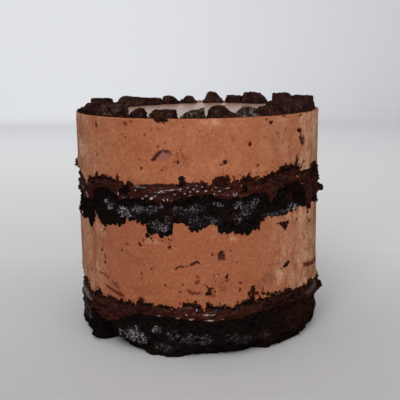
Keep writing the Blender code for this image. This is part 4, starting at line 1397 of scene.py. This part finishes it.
# Crumbs by an edge: line, tries, how far above and below it they lie, and how thick they lie at each azimuth
# A clump: azimuth, height, across, tall, crumbs, largest
# A stroke: from azimuth and height, to azimuth and height, first and last size, crumbs
# A single one: azimuth, height, size
# Round the rim: from and to azimuth, from and to how far in from the rim, crumbs, largest
brownCrumbs = {
    "seed": 11,
    "sizes": (0.5, 1.3),
    "edges": (
        (ganacheLowerTop, 9000, 2.4, 1.2, (
            (-70, 0.1), (-50, 0.35), (-30, 0.15), (-12, 0.2), (4, 0.6), (20, 0.9), (60, 0.8), (66, 0.2),
            (90, 0.7), (130, 0.5), (180, 0.8), (-110, 0.4),
        )),
        (ganacheUpperTop, 9000, 2.2, 1.4, (
            (-70, 0.1), (-45, 0.35), (-25, 0.1), (-8, 0.3), (6, 0.7), (30, 0.9), (48, 0.7), (52, 0.2),
            (60, 0.3), (66, 0.9), (90, 0.8), (130, 0.5), (180, 0.8), (-110, 0.4),
        )),
    ),
    "clumps": (
        (-6.7, 104.7, 3.8, 3.6, 90, 1.4), (9.8, 103.6, 10, 5, 240, 1.5), (19.5, 102.6, 8, 3.5, 110, 1.3),
        (28.5, 103, 6, 3, 70, 1.2), (40.5, 106.6, 8.5, 4.5, 190, 1.5), (64, 101, 12, 9, 260, 1.6),
        (75, 96, 9, 16, 330, 1.6), (80.8, 88.3, 5, 5, 110, 1.6), (83, 93, 5, 8, 70, 1.4),
        (38, 100, 18, 8, 160, 1.3), (4.4, 41.0, 3.6, 4.6, 80, 1.3), (23.6, 37.6, 6.2, 5.4, 300, 1.5),
        (24, 40.4, 3.8, 2.8, 70, 1.3), (23.0, 34.0, 4.2, 3, 90, 1.2), (28.8, 37.4, 2.6, 4.2, 80, 1.2),
        (31.2, 35.7, 3.0, 2.8, 60, 1.2), (43.4, 34.6, 4, 3.0, 40, 1.2), (77, 25, 6, 8, 110, 1.4),
        (40, 27, 30, 9, 260, 1.4), (53, 24, 17, 8, 190, 1.5), (52, 15, 34, 16, 380, 1.4),
        (70, 14, 18, 18, 260, 1.3), (-80.7, 103, 3, 8, 70, 1.2), (-49.5, 103.6, 2, 1.4, 10, 1.0),
        (-15.2, 137.0, 7.0, 1.6, 100, 1.1), (80.8, 26.4, 7, 8, 240, 1.7),
    ),
    "strokes": (
        (-36.3, 102.2, -36.3, 106.2, 1.2, 0.6, 10), (-37, 103.2, -35.6, 104.0, 0.7, 0.6, 4),
        (-49.3, 102.6, -49.5, 104.4, 1.0, 0.6, 5), (-43.5, 102.5, -43.7, 104.0, 0.8, 0.5, 4),
        (-31.3, 101.0, -31.0, 102.6, 0.9, 0.5, 5), (-29.6, 99.8, -29.4, 101.4, 0.8, 0.5, 4),
        (-6.9, 102.0, -6.6, 103.6, 1.5, 1.3, 6), (21.8, 103, 21.4, 106.4, 1.3, 0.7, 9),
        (20.6, 104.6, 22.6, 105.2, 0.8, 0.7, 4), (47.6, 106.4, 48.6, 114.0, 2.0, 0.6, 24),
        (47.2, 109, 46.2, 110.2, 0.9, 0.6, 4), (48.4, 110.5, 50.2, 111.2, 0.8, 0.5, 5),
        (44.6, 107.4, 44.6, 110.4, 1.1, 0.6, 8), (51.6, 105, 54.2, 110.2, 0.9, 0.6, 15),
        (53.8, 108.6, 56.0, 109.6, 0.7, 0.5, 6), (52.4, 107.0, 50.6, 108.4, 0.7, 0.5, 5),
        (62, 104, 62.2, 106.8, 1.4, 0.7, 9), (66.5, 104, 66.8, 106, 1.2, 0.7, 7),
        (70, 103, 70.2, 104.6, 1.2, 0.7, 5), (49.4, 107, 49.4, 103, 1.6, 1.2, 9),
        (48.0, 107, 48.4, 110.6, 1.9, 1.2, 16), (36.4, 76.1, 42.4, 75.4, 1.1, 1.9, 16),
        (38.0, 75.6, 42.2, 74.8, 1.8, 1.9, 14), (39.0, 74.6, 42.0, 73.8, 1.7, 1.7, 12),
        (40.0, 73.4, 41.6, 72.8, 1.6, 1.5, 8), (40.6, 72.4, 41.0, 71.4, 1.2, 0.7, 5),
        (40.4, 50.0, 42.8, 50.0, 1.6, 1.7, 10), (41.6, 50.9, 43.3, 51.0, 1.5, 1.5, 8),
        (42.6, 51.8, 43.4, 52.2, 1.3, 1.0, 5), (40.0, 49.3, 41.4, 49.2, 1.1, 1.2, 5),
        (37.0, 52.1, 37.2, 52.0, 0.9, 0.9, 1), (38.6, 48.3, 38.8, 48.4, 1.3, 1.3, 2),
        (2.6, 44.4, 3.6, 43.2, 0.9, 1.0, 4), (5.6, 43, 6.4, 40.4, 0.8, 0.9, 5),
        (3.0, 39.8, 3.2, 38.6, 1.4, 1.2, 3), (11.4, 48.6, 12.2, 50.4, 1.6, 0.8, 6),
        (11.6, 46.9, 11.6, 46.3, 1.2, 1.0, 3), (17.4, 39.8, 17.7, 41.4, 0.9, 1.0, 4),
        (26, 36.4, 26.4, 38, 1.0, 0.6, 4), (28.4, 38.2, 28.9, 40.2, 1.0, 0.5, 5),
        (33.2, 34, 33.4, 36.2, 0.9, 0.5, 5), (-64.5, 33, -64.6, 36.4, 1.1, 0.5, 8),
        (-61.4, 30.4, -61.5, 34.6, 1.1, 0.5, 9), (-58, 30, -58, 32.4, 0.9, 0.5, 5),
        (-55, 30.6, -55.1, 34.2, 1.3, 0.6, 8), (-51, 31, -51.2, 33.6, 1.0, 0.5, 6),
        (59, 79.2, 59.2, 77.6, 1.2, 0.9, 4), (61, 81, 60.6, 78.6, 1.4, 0.9, 6),
        (-18.0, 137.0, -12.0, 137.0, 1.3, 1.3, 26), (-17.2, 136.4, -12.9, 136.4, 1.2, 1.2, 20),
        (-16.6, 136.0, -15.8, 135.4, 1.2, 0.9, 5), (-14.2, 136.0, -13.6, 135.3, 1.1, 0.8, 5),
    ),
    "single": (
        (49.1, 75.9, 1.2), (9.8, 71.3, 0.9), (-25, 66, 0.8), (-46, 72, 1.4), (-47, 70.3, 1.0),
        (-32, 65.5, 0.8), (-21, 63, 0.8), (-12.5, 42.5, 0.8), (16.5, 57, 0.8), (6.4, 50.0, 1.1),
        (8.0, 50.7, 0.9), (9.7, 45.4, 1.0), (6.7, 46.5, 0.9), (32.5, 52, 0.8), (-5.6, 133, 0.9),
        (-33, 128.5, 0.8), (14.4, 126, 0.7), (40.5, 128.8, 0.8), (70, 113.5, 1.0), (33.5, 112, 0.8),
        (4, 111, 0.7), (50, 136.2, 1.4), (51.5, 136.6, 1.1), (40.2, 136.6, 1.4), (39.4, 136.9, 1.2),
        (14.6, 105.6, 1.1), (17.8, 106.4, 0.8), (25.2, 106.6, 0.9), (30, 106.8, 0.8), (130, 66, 1.2),
        (145, 52, 1.0), (160, 61, 1.3), (-170, 55, 1.0), (-150, 66, 1.2), (-135, 58, 0.9), (120, 118, 1.0),
        (140, 126, 1.2), (170, 115, 1.0), (-160, 124, 1.1), (-140, 119, 0.9), (-120, 128, 1.2),
    ),
    "rim": (
        (-76, -15, 0.6, 4.5, 420, 1.7), (-10.5, 36, 0.8, 4.2, 300, 1.5), (36, 66, 1.0, 5, 160, 1.7),
        (66, 180, 1.2, 7, 260, 1.8), (-180, -76, 1.2, 7, 260, 1.8), (-180, 180, 6, 16, 120, 1.3),
    ),
}
blackCrumbs = {
    "seed": 23,
    "sizes": (0.5, 1.3),
    "edges": (
        (spongeUpperBottom, 9000, 0.7, 1.2, (
            (-70, 0.7), (-54, 0.6), (-53, 0.1), (-50, 0.1), (-49, 0.7), (0, 0.8), (30, 0.6), (34, 0.1),
            (46, 0.1), (50, 0.4), (90, 0.6), (180, 0.8),
        )),
        (ganacheLowerTop, 5000, 1.8, 1.2, (
            (-70, 0.2), (-58, 0.9), (-30, 0.9), (-20, 0.8), (-12, 0.8), (-4, 0.5), (4, 1.0), (20, 0.9),
            (40, 0.4), (90, 0.3), (180, 0.4), (-110, 0.4),
        )),
        (ganacheUpperTop, 4000, 1.0, 1.8, (
            (-60, 0.3), (-50, 1.0), (-40, 0.9), (-32, 0.4), (-10, 0.2), (0, 0.3), (30, 0.6), (60, 0.5),
            (90, 0.4), (180, 0.4), (-110, 0.4),
        )),
    ),
    "clumps": (
        (-32.2, 96.6, 6.6, 5.4, 520, 1.7), (-31, 99.4, 4, 3, 90, 1.3), (-22, 72.4, 3, 3, 18, 1.2),
        (19.7, 98.8, 3.8, 3.8, 110, 1.2), (50, 92, 14, 10, 160, 1.6), (45, 29.5, 24, 6, 150, 1.3),
        (30, 30, 8, 4, 60, 1.1),
    ),
    "strokes": (
        (-17.4, 31.6, -10.6, 30.6, 1.3, 1.3, 16), (-16, 31.9, -12, 31.2, 1.1, 0.9, 9),
        (-36.8, 30.6, -35.4, 30.8, 1.2, 1.1, 5), (-31.9, 30.6, -30.8, 31.2, 1.4, 1.2, 5),
        (-27.2, 32.2, -26.8, 33.6, 1.2, 1.2, 4), (-26.2, 33, -25.6, 35.0, 1.3, 1.0, 6),
        (-40, 31.4, -45, 31.9, 1.0, 0.9, 9), (-49, 31.6, -53, 32.8, 1.2, 1.0, 9),
        (-22.5, 31.6, -20.5, 31.9, 0.9, 0.9, 4), (-6.6, 33.6, -2, 34.0, 1.1, 0.9, 9),
        (-3, 32.2, 0.4, 31.0, 1.4, 1.2, 8), (2.6, 31, 4, 32.8, 1.6, 1.2, 7),
        (4, 32.2, 8, 30.4, 1.5, 1.4, 11), (8.2, 30.6, 8.8, 33.6, 1.2, 0.7, 8),
        (8.8, 31, 9.8, 30.6, 1.4, 1.2, 4), (9.6, 30.8, 11.0, 33.0, 1.3, 0.8, 7),
        (11, 31.4, 15, 29.2, 1.4, 1.3, 11), (14.8, 29.6, 17, 33.2, 1.3, 0.7, 10),
        (16.6, 31.2, 20, 32.6, 1.3, 1.2, 10), (19.6, 31, 22.6, 32.4, 1.5, 1.5, 9),
        (21.6, 31.6, 23.6, 34.8, 1.8, 1.8, 12), (24.6, 32, 27.2, 33.4, 1.2, 1.0, 8),
        (27, 32.6, 31, 33.2, 1.1, 1.0, 10), (36, 33.0, 44, 33.8, 1.1, 1.1, 14),
        (30, 104, 34, 105.0, 1.0, 1.0, 10), (36, 106.2, 46, 107.6, 1.2, 1.2, 24),
        (46, 107.2, 50, 106, 1.4, 1.3, 12), (54.5, 103.4, 66, 103.2, 1.4, 1.4, 26),
        (40, 97.6, 52, 98.6, 1.4, 1.2, 20), (33, 93, 38, 98, 1.0, 1.2, 12),
        (-51.5, 101.6, -42, 102.6, 1.0, 1.0, 20), (-42, 102.4, -37, 101.9, 1.0, 0.9, 12),
        (-8.6, 101.2, -5, 102.6, 1.3, 1.2, 9),
    ),
    "single": (
        (-20.4, 70.8, 1.5), (-19.6, 69.6, 1.1), (-12.6, 71.0, 1.3), (-11.4, 70.2, 1.0), (-15.4, 69.8, 1.0),
        (-52.5, 79, 1.6), (-51.2, 80.4, 1.2), (12.2, 71.6, 0.9), (60.8, 72.4, 1.4), (61.2, 71, 1.0),
        (-22.4, 71.8, 1.7), (-21.8, 72.4, 1.4), (43.4, 35.4, 1.4), (44.2, 35.0, 1.2),
    ),
    "rim": (
        (-74, -56, 0.6, 2.4, 50, 1.3), (-40, -20, 0.6, 2.4, 60, 1.3),
    ),
}
mousseDabs = {
    "seed": 31,
    "sizes": (0.8, 1.4),
    "strokes": (
        (48.7, 101.5, 48.5, 101.0, 1.5, 1.4, 3), (18.1, 100.2, 18.3, 100.4, 1.0, 1.0, 2),
        (19.6, 101.4, 20.0, 101.5, 1.1, 1.0, 2), (-25.4, 100.0, -25.2, 100.1, 1.0, 1.0, 2),
    ),
    "single": (
        (52.6, 96.4, 0.9), (38.3, 97.9, 0.8), (24.6, 98.8, 0.8), (7.2, 33.4, 0.9),
    ),
}


def makeCrumbs(look, laying=crumbLaying):
    dice = random.Random(look["seed"])
    small, large = look["sizes"]
    crumbs = []

    def drop(azimuth, height, size, out=0):
        place, normal = hitWall(azimuth, height)
        crumbs.append((place + normal * (size * laying["standOut"] + out), size))

    def crumbSize(largest, power):
        return (small + (largest - small) * dice.random() ** power) * mm

    bare, thick, far = laying["edgeBar"]
    for number, (line, tries, above, below, thickness) in enumerate(look.get("edges", ())):
        azimuths = np.array(sorted(dice.uniform(-180, 180) for _ in range(tries)))
        shares = aroundList(sorted(thickness), azimuths)
        for azimuth, height, share in zip(azimuths, edgeLine(line, azimuths), shares):
            offset = dice.uniform(-below, above)
            bar = bare - thick * share + far * abs(offset) / (above if offset > 0 else below)
            if crumbCover(azimuth, (height / mm) + offset, number * 40) > bar:
                drop(azimuth, height + offset * mm, crumbSize(large, laying["edgePower"]))
    middle, rim = laying["clumpBar"]
    for azimuth, height, across, tall, count, largest in look.get("clumps", ()):
        for _ in range(count):
            spread = math.sqrt(dice.random())
            around = dice.uniform(0, math.tau)
            along = math.cos(around) * spread * across / 2
            up = math.sin(around) * spread * tall / 2
            at = azimuth + math.degrees(along * mm / ringRadius)
            if crumbCover(at, height + up, 7) > middle + rim * spread:
                size = crumbSize(largest, laying["clumpPower"])
                drop(at, (height + up) * mm, size, dice.random() * (1 - spread) * laying["heap"] * mm)
    for azimuth, height, toAzimuth, toHeight, first, last, count in look["strokes"]:
        for share in np.linspace(0, 1, count):
            size = (first + (last - first) * share) * dice.uniform(*laying["strokeSizes"])
            at = azimuth + (toAzimuth - azimuth) * share + dice.gauss(0, laying["scatter"] * size)
            up = height + (toHeight - height) * share + dice.gauss(0, laying["scatter"] * size)
            drop(at, up * mm, size * mm)
    for azimuth, height, size in look["single"]:
        drop(azimuth, height * mm, size * mm)
    for azimuth, toAzimuth, inward, toInward, count, largest in look.get("rim", ()):
        for _ in range(count):
            size = crumbSize(largest, laying["rimPower"])
            place, _ = hitTop(dice.uniform(azimuth, toAzimuth), dice.uniform(inward, toInward) * mm)
            if place.z < laying["rimBelow"]:
                crumbs.append((place + upward(size * laying["standUp"]), size))
    print("crumbs laid:", len(crumbs))
    return crumbs


shapes = crumbShapes(14, 1, 11)
joinCrumbs("mousseDabs", shapes, makeCrumbs(mousseDabs), random.Random(3), mousse, "mousse", "pale", 0)
joinCrumbs("brownCrumbs", shapes, makeCrumbs(brownCrumbs), random.Random(1), crumbCake, "chunk", "paintedGleam", 0)
# the black crumbs carry a little of the sponge's painted highlights
joinCrumbs("blackCrumbs", shapes, makeCrumbs(blackCrumbs), random.Random(2), sponge, "sponge", "paintedSparkle", 0.06)
print("crumbs made")

camera = {"lens": 67.0, "sensor": 36.0, "shift": 0.0045, "place": (0, -475 * mm, 173 * mm), "down": 11.31,
          "roll": -0.73}


def makeCamera(settings):
    data = bpy.data.cameras.new("camera")
    data.lens = settings["lens"]
    data.sensor_width = settings["sensor"]
    data.shift_x = settings["shift"]
    made = bpy.data.objects.new("camera", data)
    bpy.context.scene.collection.objects.link(made)
    pitch = Matrix.Rotation(math.radians(90 - settings["down"]), 4, "X")
    roll = Matrix.Rotation(math.radians(settings["roll"]), 4, "Z")
    made.matrix_world = Matrix.Translation(settings["place"]) @ pitch @ roll
    bpy.context.scene.camera = made


studio = {
    "floorColor": (0.50, 0.496, 0.49),  # in front of the cake
    "aroundColor": (0.74, 0.735, 0.73),  # behind it
    "aroundFrom": (-0.12, 0.16),  # how far back the one gives way to the other
    "wallColor": (0.71, 0.715, 0.73),
    "wallFrom": (0.7, 1.3),
    "floorRadius": 1.9,
    "wallHeight": 1.4,
    "sweep": 1.0,
    "sweepStep": 10,  # degrees
    "worldColor": (0.95, 0.97, 1.0),
    "worldStrength": 0.38,
    # name, place, aim, size, watts, colour, whether it shows in reflections
    "lamps": (
        ("keyLamp", (-0.22, -1.15, 0.95), (0, 0, 0.08), 0.75, 11, (1.0, 0.98, 0.96), True),
        ("fillLamp", (0.8, -1.4, 0.5), (0, 0, 0.08), 1.5, 9, (1.0, 0.98, 0.96), False),
        ("wallLamp", (-0.4, 0.7, 1.3), (-0.4, 2.7, 0.3), 1.2, 11, (0.97, 0.98, 1.0), False),
        ("farWallLamp", (-0.3, 1.5, 1.0), (-0.3, 3.5, 0.6), 1.2, 7, (0.97, 0.98, 1.0), False),
        ("overLamp", (-0.3, 0.1, 1.6), (-0.3, 0.3, 0), 1.4, 4, (0.97, 0.98, 1.0), False),
        ("nearWallLamp", (0, -0.9, 1.5), (0, -2.7, 0.3), 1.2, 10, (0.97, 0.98, 1.0), False),
    ),
}


# Part of the floor or backdrop, spun from its outline
def spinPaper(name, outline, paper):
    mesh = bmesh.new()
    verts = [mesh.verts.new((x, 0, z)) for x, z in outline]
    edges = [mesh.edges.new(pair) for pair in zip(verts, verts[1:])]
    bmesh.ops.spin(mesh, geom=verts + edges, cent=(0, 0, 0), axis=(0, 0, 1), dvec=(0, 0, 0), angle=math.tau,
                   steps=64, use_merge=True)
    bmesh.ops.remove_doubles(mesh, verts=mesh.verts, dist=weld)
    bmesh.ops.recalc_face_normals(mesh, faces=mesh.faces)
    data = bpy.data.meshes.new(name)
    mesh.to_mesh(data)
    mesh.free()
    data.shade_smooth()
    data.materials.append(paper)
    made = bpy.data.objects.new(name, data)
    bpy.context.scene.collection.objects.link(made)
    return made


def paperFinish(settings):
    paper, tree, shader = newFinish("paper", roughness=0.9, specular=0.1)
    place = addNode(tree, "ShaderNodeTexCoord").outputs["Object"]
    distance = addNode(tree, "ShaderNodeVectorMath", {0: place}, operation="LENGTH").outputs["Value"]
    behind = addNode(tree, "ShaderNodeSeparateXYZ", {"Vector": place}).outputs["Y"]
    around = stretchValue(tree, behind, *settings["aroundFrom"])
    color = mixColors(tree, around, settings["floorColor"], settings["aroundColor"])
    color = mixColors(tree, stretchValue(tree, distance, *settings["wallFrom"]), color, settings["wallColor"])
    tree.links.new(color, shader.inputs["Base Color"])
    return paper


def addLamp(name, place, aim, size, watts, color, reflected):
    light = bpy.data.lights.new(name, "AREA")
    light.size = size
    light.energy = watts
    light.color = color
    lamp = bpy.data.objects.new(name, light)
    lamp.visible_glossy = reflected
    bpy.context.scene.collection.objects.link(lamp)
    away = Vector(place) - Vector(aim)
    lamp.matrix_world = Matrix.Translation(place) @ away.to_track_quat("Z", "Y").to_matrix().to_4x4()


def makeStudio(settings):
    floor, sweep = settings["floorRadius"], settings["sweep"]
    paper = paperFinish(settings)
    flat = spinPaper("floor", [(floor * share, 0) for share in (0, 0.5, 1)], paper)
    flat.visible_glossy = False
    turns = [math.radians(degrees) for degrees in range(0, 91, settings["sweepStep"])]
    curve = [(floor + sweep * math.sin(turn), sweep * (1 - math.cos(turn))) for turn in turns]
    spinPaper("backdrop", curve + [(floor + sweep, settings["wallHeight"])], paper)
    for lamp in settings["lamps"]:
        addLamp(*lamp)
    world = bpy.data.worlds.new("studio")
    bpy.context.scene.world = world
    world.use_nodes = True
    background = world.node_tree.nodes["Background"]
    background.inputs["Color"].default_value = (*settings["worldColor"], 1)
    background.inputs["Strength"].default_value = settings["worldStrength"]
    world.cycles_visibility.glossy = False
    bpy.context.scene.view_settings.view_transform = "Standard"


makeCamera(camera)
makeStudio(studio)
print("studio made")
